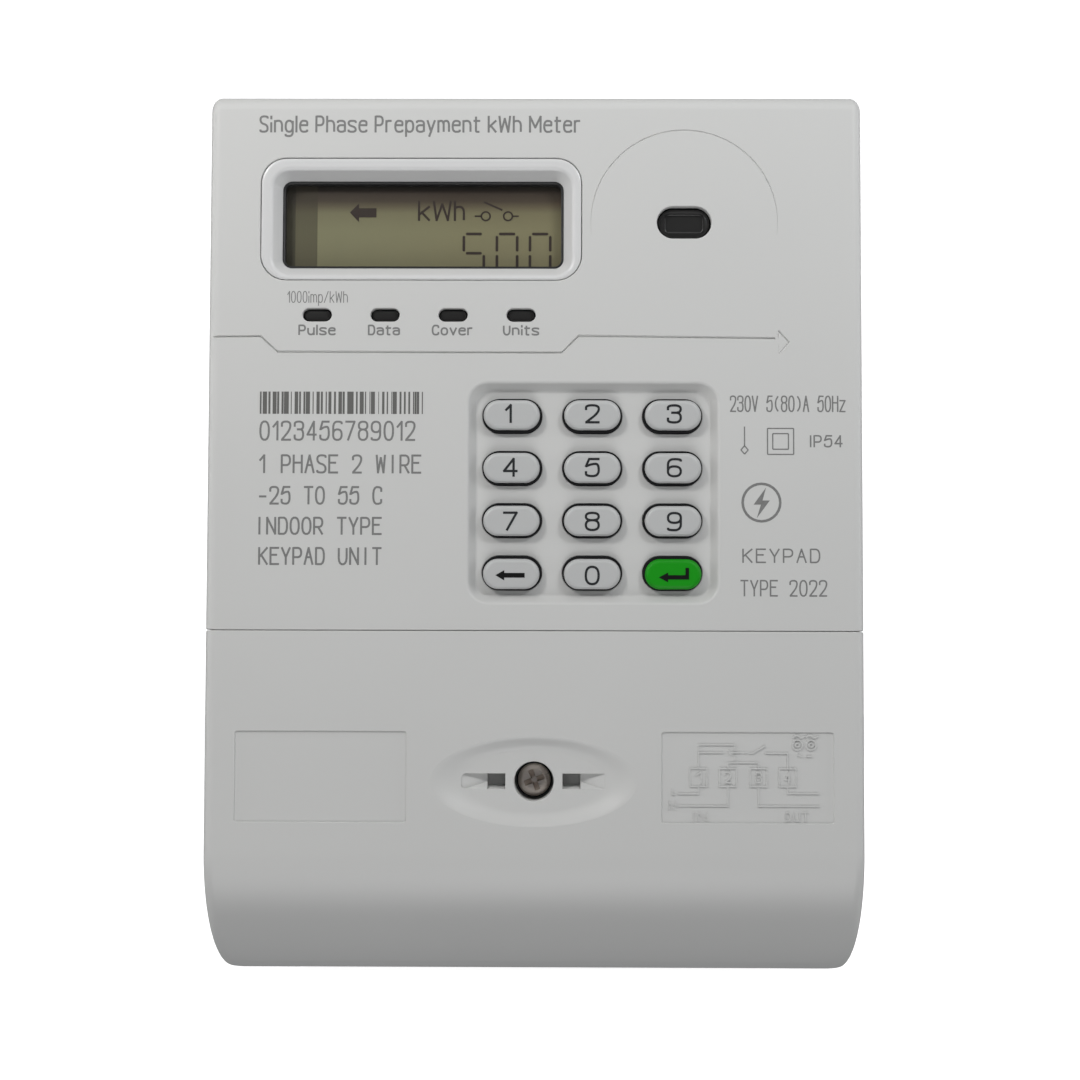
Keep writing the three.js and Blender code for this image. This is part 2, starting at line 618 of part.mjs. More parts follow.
add('base', base(), CASE_PLASTIC);
add('main_cover', mainCover(), CASE_PLASTIC);
add('terminal_cover', terminalCover(), CASE_PLASTIC);
add('case_gasket', sealStrip(2.5, 4.1, -13.3, PARTING + 0.7), RUBBER);
add('window_bezel', windowBezel(), BEZEL_PLASTIC);
add('lcd_window', lcdWindow(), CLEAR_PLASTIC);
add('lcd_module', block(-52, 8.5, DISPLAY_BOARD.front - GAP, -51.2, 50.5, 72.5), DISPLAY_GLASS);
add('led_light_pipe', ledLightPipe(), SMOKED_PLASTIC);
add('ir_lens', irLens(), SMOKED_PLASTIC);
add('keypad_mat', keypadMat(), RUBBER);
for (const key of keyPlaces()) {
  add(key.name, keyCap(), key.name === 'key_enter' ? ENTER_PLASTIC : KEY_PLASTIC, key.x, key.z);
}
for (const place of ledPlaces()) {
  add(place.name, led(), LED_RESIN, place.x, LED_Z);
}
add('seal_screw', sealScrew(), NICKEL);
add('seal_screw_washer', sealScrewWasher(), BLACK_PLASTIC);
add('case_screw_left', caseScrew(), ZINC, -CASE_SCREW.x, CASE_SCREW.z);
add('case_screw_right', caseScrew(), ZINC, CASE_SCREW.x, CASE_SCREW.z);
add('hanger', hanger(), ZINC);

add('display_pcb', block(-56, 40, DISPLAY_BOARD.back, DISPLAY_BOARD.front, -12.5, 78), BOARD);
add('main_pcb', block(-54, 54, MAIN_BOARD.back, MAIN_BOARD.front, -6, 80), BOARD);
add('ir_emitter', block(24, 33.4, DISPLAY_BOARD.front - GAP, -50.5, 58.9, 63.8), BLACK_PLASTIC);
add('backup_battery', backupBattery(), NICKEL);
add('supply_transformer', supplyTransformer(), WINDING);
add('buzzer', buzzer(), BLACK_PLASTIC);
add('relay_case', relayCase(), BLACK_PLASTIC);
add('relay_coil', relayCoil(), COPPER);
add('relay_rocker', relayRocker(), ZINC);
add('relay_contact_arm', relayContactArm(), COPPER);
add('current_shunt', currentShunt(), COPPER);
add('neutral_bar', block(-17, 17, BAR.back, BAR.front, -12, -6), COPPER);
add('load_bar', loadBar(), COPPER);

add('terminal_block', terminalBlock(), BLACK_PLASTIC);
TERMINAL_X.forEach((x, i) => {
  add(`terminal_${i + 1}`, terminalCage(), BRASS, x);
  CLAMP_Z.forEach((z, j) => add(`terminal_screw_${i + 1}${'ab'[j]}`, terminalScrew(), NICKEL, x, z));
});
add('tamper_switch', tamperSwitch(), BLACK_PLASTIC);
add('tamper_plunger', tamperPlunger(), ENTER_PLASTIC);
add('aux_terminal', auxTerminal(), ENTER_PLASTIC);

export default meter;
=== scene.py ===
# Prepaid electricity meter with keypad, for a wall or a meter board.
#
# Metres, X right and Z up as seen from the front, which looks along -Y. The back lies in the plane y = 0.
# Sizes are written in millimetres, and solid() turns them into metres.

import json
import math

import bmesh
import bpy
from mathutils import Matrix, Vector

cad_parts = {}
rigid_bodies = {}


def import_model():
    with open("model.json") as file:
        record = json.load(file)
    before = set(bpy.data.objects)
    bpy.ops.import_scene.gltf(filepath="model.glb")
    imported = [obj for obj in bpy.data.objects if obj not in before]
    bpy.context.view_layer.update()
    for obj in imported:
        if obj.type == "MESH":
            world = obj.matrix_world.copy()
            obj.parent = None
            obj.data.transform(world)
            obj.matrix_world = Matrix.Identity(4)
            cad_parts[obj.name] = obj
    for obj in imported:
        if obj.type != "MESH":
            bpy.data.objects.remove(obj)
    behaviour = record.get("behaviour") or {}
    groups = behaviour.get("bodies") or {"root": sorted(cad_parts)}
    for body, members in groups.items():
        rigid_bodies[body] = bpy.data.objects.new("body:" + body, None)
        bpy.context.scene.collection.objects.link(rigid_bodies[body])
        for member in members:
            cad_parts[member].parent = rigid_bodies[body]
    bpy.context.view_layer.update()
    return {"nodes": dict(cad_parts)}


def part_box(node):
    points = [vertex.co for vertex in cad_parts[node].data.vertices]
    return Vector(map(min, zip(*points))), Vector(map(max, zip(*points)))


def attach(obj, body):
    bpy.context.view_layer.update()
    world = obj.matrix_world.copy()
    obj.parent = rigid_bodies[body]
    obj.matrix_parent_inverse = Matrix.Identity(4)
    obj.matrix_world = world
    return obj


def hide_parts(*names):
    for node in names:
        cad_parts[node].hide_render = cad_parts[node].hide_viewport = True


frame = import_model()

# ---- case tray ----------------------------------------------------------------------------------
# The tray is one injection moulding in light grey polycarbonate, with a fine satin skin from the
# mould. It holds the boards and the terminal block, and two screws or the hanger fix it to a wall.

MM = 0.001


class Signal:
    """A number or colour carried by a shader socket. Arithmetic on it adds Math nodes."""

    def __init__(self, finish, socket):
        self.finish, self.socket = finish, socket

    def _math(self, operation, first, second):
        return self.finish.node("Math", {"operation": operation}, {0: first, 1: second})

    def __add__(self, other):
        return self._math("ADD", self, other)

    def __mul__(self, other):
        return self._math("MULTIPLY", self, other)

    def __sub__(self, other):
        return self._math("SUBTRACT", self, other)

    def __rsub__(self, other):
        return self._math("SUBTRACT", other, self)

    def __truediv__(self, other):
        return self._math("DIVIDE", self, other)

    def __lt__(self, other):
        return self._math("LESS_THAN", self, other)

    __radd__ = __add__
    __rmul__ = __mul__


class Finish:
    """A material with one Principled shader, and the nodes that feed it."""

    def __init__(self, name, color, roughness, **constants):
        self.material = bpy.data.materials.new(name)
        self.material.use_nodes = True
        self.material.diffuse_color = (*color, 1)
        self.tree = self.material.node_tree
        self.shader = self.tree.nodes["Principled BSDF"]
        self.shader.inputs["Base Color"].default_value = (*color, 1)
        self.shader.inputs["Roughness"].default_value = roughness
        for socket, value in constants.items():
            self.shader.inputs[socket.replace("_", " ")].default_value = value

    def feed(self, socket, value):
        if isinstance(value, Signal):
            self.tree.links.new(value.socket, socket)
        else:
            socket.default_value = value

    def node(self, kind, settings=None, inputs=None, output=0):
        made = self.tree.nodes.new("ShaderNode" + kind)
        for key, value in (settings or {}).items():
            if key == "stops":
                stops = made.color_ramp.elements
                while len(stops) < len(value):
                    stops.new(1.0)
                for stop, (place, color) in zip(stops, value):
                    stop.position, stop.color = place, (*color, 1)
            else:
                setattr(made, key, value)
        for key, value in (inputs or {}).items():
            self.feed(made.inputs[key], value)
        return Signal(self, made.outputs[output])

    def set(self, socket, value):
        self.feed(self.shader.inputs[socket], value)

    def axis(self, name):
        """One Object coordinate, in millimetres."""
        place = self.node("TexCoord", output="Object")
        return self.node("SeparateXYZ", inputs={0: place}, output=name) * 1000

    def noise(self, scale, detail=2.0, stretch=(1, 1, 1)):
        place = self.node("TexCoord", output="Object")
        place = self.node("Mapping", inputs={"Vector": place, "Scale": stretch})
        return self.node("TexNoise", inputs={"Vector": place, "Scale": scale, "Detail": detail})

    def blend(self, share, first, second):
        first, second = [c if isinstance(c, Signal) else (*c, 1) for c in (first, second)]
        return self.node("Mix", {"data_type": "RGBA"}, {0: share, 6: first, 7: second}, output=2)

    def relief(self, height, strength, depth):
        self.set("Normal", self.node("Bump", inputs={"Strength": strength, "Distance": depth,
                                                     "Height": height}))


def moulded(name, color, roughness, tone=0.03, grain=0.10, **constants):
    """Moulded plastic: a slow change of tone from the flow, and the fine skin of the mould."""
    finish = Finish(name, color, roughness, **constants)
    flow = finish.noise(14, 3)
    skin = finish.noise(3200, 2)
    dark, light = [tuple(c * (1 + sign * tone) for c in color) for sign in (-1, 1)]
    finish.set("Base Color", finish.blend(flow, dark, light))
    finish.set("Roughness", roughness + (skin - 0.5) * grain + (flow - 0.5) * 0.06)
    finish.relief(skin, 0.12, 0.00006)
    return finish


CASE_COLOR = (0.585, 0.585, 0.575)
case_plastic = moulded("case_plastic", CASE_COLOR, 0.46)


def rounded(left, right, bottom, top, radius, steps=6):
    """Rectangle with round corners in front view, as a function of how far it is grown."""
    def outline(grow=0.0):
        r = max(radius + grow, 0.02)
        corners = ((right - radius, bottom + radius, -90), (right - radius, top - radius, 0),
                   (left + radius, top - radius, 90), (left + radius, bottom + radius, 180))
        return [(x + r * math.cos(a), z + r * math.sin(a)) for x, z, start in corners
                for a in (math.radians(start + 90 * i / steps) for i in range(steps + 1))]
    return outline


def stadium(x, z, width, height, steps=8):
    half = height / 2
    return rounded(x - width / 2, x + width / 2, z - half, z + half, half, steps)


def full_turn(steps):
    """Angles evenly spread over a full turn."""
    return [2 * math.pi * i / steps for i in range(steps)]


def circle(x, z, radius, steps=48):
    return lambda grow=0.0: [
        (x + (radius + grow) * math.cos(a), z + (radius + grow) * math.sin(a))
        for a in full_turn(steps)]


def solid(name, loops, closed=False):
    """A closed body lofted through loops of points in millimetres."""
    body = bmesh.new()
    rows = [[body.verts.new(Vector(point) * MM) for point in loop] for loop in loops]
    pairs = list(zip(rows, rows[1:])) + ([(rows[-1], rows[0])] if closed else [])
    for low, high in pairs:
        for i in range(len(low)):
            j = (i + 1) % len(low)
            body.faces.new((low[i], low[j], high[j], high[i]))
    if not closed:
        body.faces.new(rows[0][::-1])
        body.faces.new(rows[-1])
    bmesh.ops.remove_doubles(body, verts=body.verts, dist=0.002 * MM)
    bmesh.ops.recalc_face_normals(body, faces=body.faces)
    mesh = bpy.data.meshes.new(name)
    body.to_mesh(mesh)
    body.free()
    made = bpy.data.objects.new(name, mesh)
    bpy.context.scene.collection.objects.link(made)
    return made


def stack(outline, levels, name="cutter"):
    """A body whose outline in front view is grown by each level's first number at its y."""
    return solid(name, [[(x, y, z) for x, z in outline(grow)] for grow, y in levels])


def block(x0, x1, y0, y1, z0, z1, name="cutter"):
    return solid(name, [[(x, y, z0) for x, y in ((x0, y0), (x1, y0), (x1, y1), (x0, y1))],
                        [(x, y, z1) for x, y in ((x0, y0), (x1, y0), (x1, y1), (x0, y1))]])


def rod(x, z, radius, back, front, name="cutter", rim=0.0):
    levels = [(0, back), (0, front + rim)] + ([(-rim, front)] if rim else [])
    return stack(circle(x, z, radius, 40), levels, name)


def plain(body):
    """Replaces a body's mesh by the evaluated one and drops its modifiers."""
    bpy.context.view_layer.update()
    mesh = bpy.data.meshes.new_from_object(
        body.evaluated_get(bpy.context.evaluated_depsgraph_get()))
    body.modifiers.clear()
    body.data = mesh
    return body


def join(pieces, name=None):
    body = bmesh.new()
    for piece in pieces:
        body.from_mesh(piece.data)
    for piece in pieces[1:]:
        bpy.data.objects.remove(piece)
    body.to_mesh(pieces[0].data)
    body.free()
    pieces[0].name = name or pieces[0].name
    return pieces[0]


def shape(body, tools, operation="DIFFERENCE"):
    """Cuts the tools out of a body, or joins them to it. Tools of one call don't touch each other."""
    tool = join(tools)
    boolean = body.modifiers.new("shape", "BOOLEAN")
    boolean.operation, boolean.solver, boolean.object = operation, "EXACT", tool
    plain(body)
    bpy.data.objects.remove(tool)
    return body


def finished(body, finish, rider, *nodes, slot=None, angle=32):
    """Smooths the round faces, gives the finish, and says what the piece rides on and replaces."""
    body.data.materials.clear()
    body.data.materials.append(finish.material)
    for face in body.data.polygons:
        face.material_index = 0
    body.data.shade_smooth()
    body.data.set_sharp_from_angle(angle=math.radians(angle))
    normals = body.modifiers.new("normals", "WEIGHTED_NORMAL")
    normals.keep_sharp = True
    plain(body)
    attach(body, rider)
    if nodes:
        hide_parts(*nodes)
    return body


def extent(node):
    """A CAD node's box in millimetres: x0, x1, y0, y1, z0, z1."""
    low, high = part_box(node)
    return [v / MM for pair in zip(low, high) for v in pair]


left, right, parting, back, bottom, top = extent("base")
HALF, TOP, BOTTOM, PARTING = right, top, bottom, parting
WALL, FLOOR = 2.2, 2.4
CASE_SCREW_X, CASE_SCREW_Z = 55.5, -23

tray = stack(rounded(-HALF, HALF, BOTTOM, TOP, 2.8, 8),
             [(-0.6, 0), (-0.3, -0.08), (-0.08, -0.3), (0, -0.6), (0, PARTING + 0.15), (-0.15, PARTING)],
             "base_tray")
shape(tray, [stack(rounded(-HALF + WALL, HALF - WALL, BOTTOM + WALL, TOP - WALL, 1),
                   [(0, -FLOOR), (0, PARTING - 5)])])
posts = [rod(side * 48, z, 3, -FLOOR + 0.4, -11.7) for side in (-1, 1) for z in (2, 74)]
bosses = [rod(side * CASE_SCREW_X, CASE_SCREW_Z, 3.5, -FLOOR + 0.4, PARTING + 0.3) for side in (-1, 1)]
housing = block(-13, 13, -FLOOR + 0.4, -6.2, 46, TOP - 1)
shape(tray, posts + bosses + [housing], "UNION")

hanger_box = extent("hanger")
slot_half = hanger_box[1] + 0.3
hanger_slot = block(-slot_half, slot_half, -0.5, -3.1, hanger_box[4] - 0.3, TOP + 5)
hanger_gap = block(-7.5, 7.5, 5, -0.8, hanger_box[4] - 0.3, TOP + 5)
fixing = [stack(circle(side * 54.5, -70, 2.6, 32), [(0.5, 5), (0.5, 0.0), (0, -0.5), (0, -8)])
          for side in (-1, 1)]
screw_holes = [rod(side * CASE_SCREW_X, CASE_SCREW_Z, 1.8, -5, PARTING - 5) for side in (-1, 1)]
cable_side = block(-48, 48, -3.5, PARTING - 5, BOTTOM - 5, BOTTOM + WALL + 1)
shape(tray, [hanger_slot])
shape(tray, [hanger_gap] + fixing + screw_holes + [cable_side])

# Shallow cored panels on the back keep the moulded floor flat.
cores = []
for x0, x1, z0, z1 in ((-58, -31, 6, 42), (-27, 27, 6, 42), (31, 58, 6, 42), (-58, -18, 50, 81),
                       (18, 58, 50, 81), (-58, -31, -58, -2), (-27, 27, -58, -2), (31, 58, -58, -2),
                       (-46, 46, -80, -63)):
    cores.append(stack(rounded(x0, x1, z0, z1, 2.5), [(0.2, 2), (0.2, 0), (0, -0.2), (-0.3, -0.9)]))
shape(tray, cores)
finished(tray, case_plastic, "case", "base", slot="case_plastic")

# ---- hanger -------------------------------------------------------------------------------------
# A punched and zinc plated steel plate that slides up out of the back, so that the meter hangs on one
# screw. The plate slides in a pocket of the tray.


def metal(name, color, roughness, scratch=0.12, **constants):
    """Bare or plated metal with fine brush marks and a little tarnish."""
    finish = Finish(name, color, roughness, Metallic=1.0, **constants)
    marks = finish.noise(900, 3, (1, 1, 12))
    stain = finish.noise(120, 4)
    dull = tuple(c * 0.72 for c in color)
    finish.set("Base Color", finish.blend(stain, dull, color))
    finish.set("Roughness", roughness + (marks - 0.5) * scratch + (stain - 0.5) * 0.2)
    finish.relief(marks, 0.08, 0.00004)
    return finish


zinc = metal("zinc_plated_steel", (0.62, 0.64, 0.66), 0.36)
x0, x1, y0, y1, z0, z1 = hanger_box
plate = stack(rounded(x0, x1, z0, z1, 3, 8),
              [(-0.25, y1), (0, y1 - 0.25), (0, y0 + 0.25), (-0.25, y0)], "hanger_plate")
shape(plate, [stack(circle(0, z1 - 5.5, 2.8, 40), [(0.2, 5), (0.2, y1), (0, y1 - 0.2), (0, y0 - 5)]),
              stack(stadium(0, z0 + 8, 14, 3), [(0.2, 5), (0.2, y1), (0, y1 - 0.2), (0, y0 - 5)])])
finished(plate, zinc, "hanger", "hanger", slot="zinc_steel")

# ---- boards and sealed inner parts --------------------------------------------------------------
# Two glass-fibre boards, with the supply, the relay and the battery, sit behind the covers. They are
# seen only through gaps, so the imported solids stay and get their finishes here.


def board(name):
    """Green solder mask over copper tracks, with tinned pads."""
    finish = Finish(name, (0.02, 0.13, 0.05), 0.38, Coat_Weight=0.3)
    tracks = finish.node("TexBrick", {"offset": 0.35}, {
        "Vector": finish.node("TexCoord", output="Object"), "Scale": 190.0, "Mortar Size": 0.09,
        "Color1": (1, 1, 1, 1), "Color2": (0.9, 0.9, 0.9, 1), "Mortar": (0, 0, 0, 1)}, output="Fac")
    pads = finish.node("TexVoronoi", inputs={
        "Vector": finish.node("TexCoord", output="Object"), "Scale": 260.0}, output="Distance") < 0.12
    green = finish.blend(tracks, (0.015, 0.11, 0.045), (0.04, 0.22, 0.08))
    finish.set("Base Color", finish.blend(pads, green, (0.62, 0.62, 0.6)))
    finish.set("Roughness", 0.42 - pads * 0.15)
    finish.relief(tracks, 0.2, 0.00008)
    return finish


black_plastic = moulded("black_plastic", (0.018, 0.019, 0.020), 0.42, tone=0.2)
rubber = moulded("seal_rubber", (0.035, 0.037, 0.039), 0.72, tone=0.15)
green_plastic = moulded("green_plastic", (0.018, 0.27, 0.022), 0.40, tone=0.05)
brass = metal("brass", (0.62, 0.44, 0.16), 0.30)
copper = metal("copper", (0.72, 0.36, 0.21), 0.34)
nickel = metal("nickel_plated_steel", (0.93, 0.84, 0.77), 0.30)
varnished = metal("enamelled_wire", (0.66, 0.40, 0.10), 0.42, Coat_Weight=0.5)
resin = moulded("led_resin", (0.46, 0.04, 0.03), 0.16, tone=0.08, Coat_Weight=0.4)
circuit = board("circuit_board")

for node, finish in {
    "case_gasket": rubber, "keypad_mat": rubber, "display_pcb": circuit, "main_pcb": circuit,
    "ir_emitter": black_plastic, "backup_battery": nickel, "supply_transformer": varnished,
    "buzzer": black_plastic, "relay_case": black_plastic, "relay_coil": copper,
    "relay_rocker": zinc, "relay_contact_arm": copper, "current_shunt": copper,
    "neutral_bar": copper, "load_bar": copper, "led_pulse": resin, "led_data": resin,
    "led_cover": resin, "led_credit": resin, "case_screw_left": zinc, "case_screw_right": zinc,
    "terminal_1": brass, "terminal_2": brass, "terminal_3": brass, "terminal_4": brass,
    "tamper_switch": black_plastic, "tamper_plunger": green_plastic, "aux_terminal": green_plastic,
}.items():
    holder = frame["nodes"][node]
    holder.data.materials.clear()
    holder.data.materials.append(finish.material)


class Growth:
    """A Geometry Nodes tree with named inputs. grow() runs it and leaves a plain mesh."""

    def __init__(self, name, inputs):
        self.group = bpy.data.node_groups.new(name, "GeometryNodeTree")
        kinds = {"i": "NodeSocketInt", "f": "NodeSocketFloat", "v": "NodeSocketVector",
                 "m": "NodeSocketMaterial"}
        self.ids = {}
        for key, kind in inputs.items():
            made = self.group.interface.new_socket(name=key, in_out="INPUT", socket_type=kinds[kind])
            self.ids[key] = made.identifier
        self.group.interface.new_socket(name="Geometry", in_out="OUTPUT",
                                        socket_type="NodeSocketGeometry")
        self.source = self.group.nodes.new("NodeGroupInput")

    def input(self, name):
        return self.source.outputs[name]

    def node(self, kind, settings=None, inputs=None, output=0):
        made = self.group.nodes.new(kind)
        for key, value in (settings or {}).items():
            setattr(made, key, value)
        for key, value in (inputs or {}).items():
            if isinstance(value, bpy.types.NodeSocket):
                self.group.links.new(value, made.inputs[key])
            else:
                made.inputs[key].default_value = value
        return made.outputs[output]

    def end(self, geometry):
        geometry = self.node("GeometryNodeRealizeInstances", inputs={0: geometry})
        painted = self.node("GeometryNodeSetMaterial",
                            inputs={"Geometry": geometry, "Material": self.input("Material")})
        sink = self.group.nodes.new("NodeGroupOutput")
        self.group.links.new(painted, sink.inputs[0])

    def grow(self, name, **values):
        body = bpy.data.objects.new(name, bpy.data.meshes.new(name))
        bpy.context.scene.collection.objects.link(body)
        modifier = body.modifiers.new("growth", "NODES")
        modifier.node_group = self.group
        for key, value in values.items():
            modifier[self.ids[key]] = value
        return plain(body)


# Wire or a thread wound round a core: a helix swept with a round section.
helix = Growth("helix", {"Turns": "f", "Radius": "f", "Length": "f", "Section": "f", "Turn": "v",
                         "Place": "v", "Material": "m"})
line = helix.node("GeometryNodeCurveSpiral", inputs={
    "Resolution": 20, "Rotations": helix.input("Turns"), "Start Radius": helix.input("Radius"),
    "End Radius": helix.input("Radius"), "Height": helix.input("Length")})
section = helix.node("GeometryNodeCurvePrimitiveCircle",
                     inputs={"Resolution": 6, "Radius": helix.input("Section")})
wire = helix.node("GeometryNodeCurveToMesh",
                  inputs={"Curve": line, "Profile Curve": section, "Fill Caps": True})
helix.end(helix.node("GeometryNodeTransform", inputs={
    "Geometry": wire, "Rotation": helix.input("Turn"), "Translation": helix.input("Place")}))

x0, x1, y0, y1, z0, z1 = [v * MM for v in extent("relay_coil")]
QUARTER = math.pi / 2
winding = helix.grow("relay_winding", Turns=30.0, Radius=0.0062, Length=0.0156, Section=0.00026,
                     Turn=(0, QUARTER, 0), Place=(x0 + 0.0016, (y0 + y1) / 2, (z0 + z1) / 2),
                     Material=varnished.material)
winding.data.shade_smooth()
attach(winding, "case")

# ---- terminal block -----------------------------------------------------------------------------
# A black heat-proof moulding with four brass cages, each closed by two slotted clamp screws that are
# reached through holes in the front. Ridges between the holes keep neighbouring tails apart.

x0, x1, y0, y1, z0, z1 = extent("terminal_block")
SCREW_Z = -46.1
FACE = -39.7
TERMINALS = [sum(extent("terminal_%d" % i)[:2]) / 2 for i in (1, 2, 3, 4)]
CAGE_Y = -22
CLAMPS = {"a": -33, "b": -47}
body = block(x0, x1, FACE, y1, z0, z1, "terminal_body")
bevel = body.modifiers.new("edge", "BEVEL")
bevel.width, bevel.segments, bevel.limit_method = 0.6 * MM, 2, "ANGLE"
plain(body)
shape(body, [rod(0, SCREW_Z, 4.5, FACE + 1, y0, rim=0.3)]
      + [stack(rounded(x - 0.6, x + 0.6, -58, -27, 0.5),
               [(0, FACE + 1), (0, FACE - 1.0), (-0.2, FACE - 1.2)])
         for x in (-24, 30.6)], "UNION")
pockets = []
for x in TERMINALS:
    pockets.append(block(x - 7.3, x + 7.3, -14.7, -29.3, -54.3, -13))
shape(body, pockets)
holes = []
for x in TERMINALS:
    funnel = [(6.2, -61.0), (6.2, -59.8), (4.75, -58.0), (4.75, -52.5)]
    holes.append(solid("cutter", [[(x + r * math.cos(a), CAGE_Y + r * math.sin(a), z) for a in
                                   full_turn(40)] for r, z in funnel]))
    for z in CLAMPS.values():
        holes.append(stack(circle(x, z, 3.7, 40),
                           [(0, -28), (0, FACE + 0.6), (0.7, FACE - 0.1), (0.7, FACE - 2)]))
holes.append(rod(0, SCREW_Z, 2.25, -25, y0 - 5))
holes.append(block(24 - 3.3, 24 + 3.3, -33, FACE - 1, -30 - 5.3, -30 + 5.3))
shape(body, holes)
finished(body, black_plastic, "case", "terminal_block", slot="black_plastic")


def turned(name, profile, x, z, sides=40):
    """A body turned on an axis along Y; the profile is a list of (radius, y) from back to front."""
    return solid(name, [[(x + r * math.cos(a), y, z + r * math.sin(a)) for a in
                         full_turn(sides)] for r, y in profile])


for i, x in enumerate(TERMINALS, 1):
    for key, z in CLAMPS.items():
        clamp = turned("clamp_screw_%d%s" % (i, key), [
            (1.2, -26.5), (1.8, -26.8), (2.6, -27.4), (2.6, -35.4), (3.25, -35.5), (3.3, -35.8),
            (3.3, -38.1), (3.1, -38.4), (2.8, -38.5)], x, z)
        shape(clamp, [block(x - 0.5, x + 0.5, -37.2, -40, z - 4.5, z + 4.5)])
        finished(clamp, nickel, "terminal_screw_%d%s" % (i, key), "terminal_screw_%d%s" % (i, key),
                 slot="nickel_steel")

# ---- main cover ---------------------------------------------------------------------------------
# The upper shell, moulded in the same grey polycarbonate as the tray. Its front is plain and flat,
# with a cut-out for the window, a dished keypad and fine grooves left by the mould.

y0 = extent("main_cover")[2]
FRONT, SEAM, COVER_BACK = y0, -17.35, PARTING - 0.3
EDGE = 2.0


def across(z, inset, front=FRONT, radius=EDGE, half=HALF, back=COVER_BACK, steps=8):
    """Section of a cover at height z: square at the back, round at both front corners."""
    half, front = half - inset, front + inset
    r = max(min(radius, (back - front) * 0.8), 0.05)
    points = [(-half, back, z)]
    for x, start in ((-half + r, 180), (half - r, 270)):
        for i in range(steps + 1):
            a = math.radians(start + 90 * i / steps)
            points.append((x + r * math.cos(a), front + r + r * math.sin(a), z))
    return points + [(half, back, z)]


rim = [(0.22, 0.0), (0.08, 0.06), (0.0, 0.22)]
loops = [across(SEAM + lift, inset) for inset, lift in rim]
for i in range(9):
    turn = QUARTER * i / 8
    inset = 2.0 * (1 - math.cos(turn))
    loops.append(across(TOP - 2.8 + 2.8 * math.sin(turn), inset, radius=EDGE - 0.9 * inset))
cover = solid("main_cover_shell", loops)
shape(cover, [stack(rounded(-HALF + WALL, HALF - WALL, SEAM + WALL, TOP - WALL, 1),
                    [(0, 5), (0, FRONT + WALL)])])
key_boxes = {node: extent(node) for node in frame["nodes"] if node.startswith("key_")}
key_centres = {node: ((b[0] + b[1]) / 2, (b[4] + b[5]) / 2) for node, b in key_boxes.items()}
PAD = rounded(-11.3, 33.7, -10.6, 28.7, 2.5, 8)
PAD_FLOOR = FRONT + 2.1
shape(cover, [block(-14, 37.2, PAD_FLOOR + 1.8, FRONT + WALL - 0.5, -14, 31.6)]
      + [block(side * 52.2, side * 59.8, COVER_BACK, PARTING - 3.3, -27, SEAM + 1.0)
         for side in (-1, 1)], "UNION")

# A thin lip reaches down behind the terminal cover, so that the joint shows no gap.
LIP = 58.5
lip = [(-LIP, -20), (-LIP, -53.5), (LIP, -53.5), (LIP, -20), (LIP - 1.1, -20), (LIP - 1.1, -52.4),
       (1.1 - LIP, -52.4), (1.1 - LIP, -20)]
shape(cover, [solid("cutter", [[(x, y, z) for x, y in lip] for z in (SEAM - 1.5, SEAM + 0.6)])], "UNION")

BEZEL = rounded(-53.1, 9, 50, 73.9, 5, 10)
LED_Z = 43.3
LED_X = [sum(extent(n)[:2]) / 2 for n in ("led_pulse", "led_data", "led_cover", "led_credit")]
port_box = extent("ir_lens")
PORT_X, PORT_Z = (port_box[0] + port_box[1]) / 2, (port_box[4] + port_box[5]) / 2
cuts = [stack(PAD, [(-0.3, PAD_FLOOR), (0.0, PAD_FLOOR - 0.05), (0.2, PAD_FLOOR - 0.22),
                    (1.3, FRONT + 0.34), (1.5, FRONT + 0.16), (1.72, FRONT + 0.04), (1.95, FRONT),
                    (1.95, FRONT - 3)]),
        stack(BEZEL, [(0, FRONT + 6), (0, FRONT + 0.15), (0.15, FRONT), (0.15, FRONT - 3)]),
        stack(stadium(PORT_X, PORT_Z, 10.5, 6.2, 12),
              [(0, FRONT + 6), (0, FRONT + 0.3), (0.09, FRONT + 0.09), (0.3, FRONT), (0.3, FRONT - 3)])]
for x in LED_X:
    cuts.append(stack(stadium(x, LED_Z, 5.6, 2.55), [
        (0, FRONT + 6), (0, FRONT + 0.25), (0.08, FRONT + 0.08), (0.25, FRONT), (0.25, FRONT - 3)]))
shape(cover, cuts)
shape(cover, [stack(stadium(x, z, 11.55, 6.65, 10), [(0, PAD_FLOOR + 5), (0, PAD_FLOOR + 0.1),
                                                    (0.12, PAD_FLOOR - 0.02), (0.12, PAD_FLOOR - 0.3)])
              for x, z in key_centres.values()]
      + [block(-52, 52, 5, -40.2, SEAM - 5, SEAM + WALL + 1)]
      + [rod(side * CASE_SCREW_X, CASE_SCREW_Z, 2.1, 5, PARTING - 8) for side in (-1, 1)])


def groove(points, width, depth, face=FRONT):
    """A V groove along a line of (x, z) points on the front. It shallows to nothing where told."""
    loops = []
    for i, (x, z, *share) in enumerate(points):
        before, after = points[max(i - 1, 0)], points[min(i + 1, len(points) - 1)]
        way = Vector((after[0] - before[0], after[1] - before[1])).normalized()
        first = Vector((x - before[0], z - before[1])).normalized() if i else way
        stretch = 1 / max(abs(first.dot(way)), 0.5)
        side = Vector((-way.y, way.x)) * width / 2 * stretch
        share = share[0] if share else 1.0
        over = 0.1
        spread = 1 + over / depth
        loops.append([(x + side.x * spread * share, face - over, z + side.y * spread * share),
                      (x - side.x * spread * share, face - over, z - side.y * spread * share),
                      (x, face + depth * share, z)])
    return solid("cutter", loops)


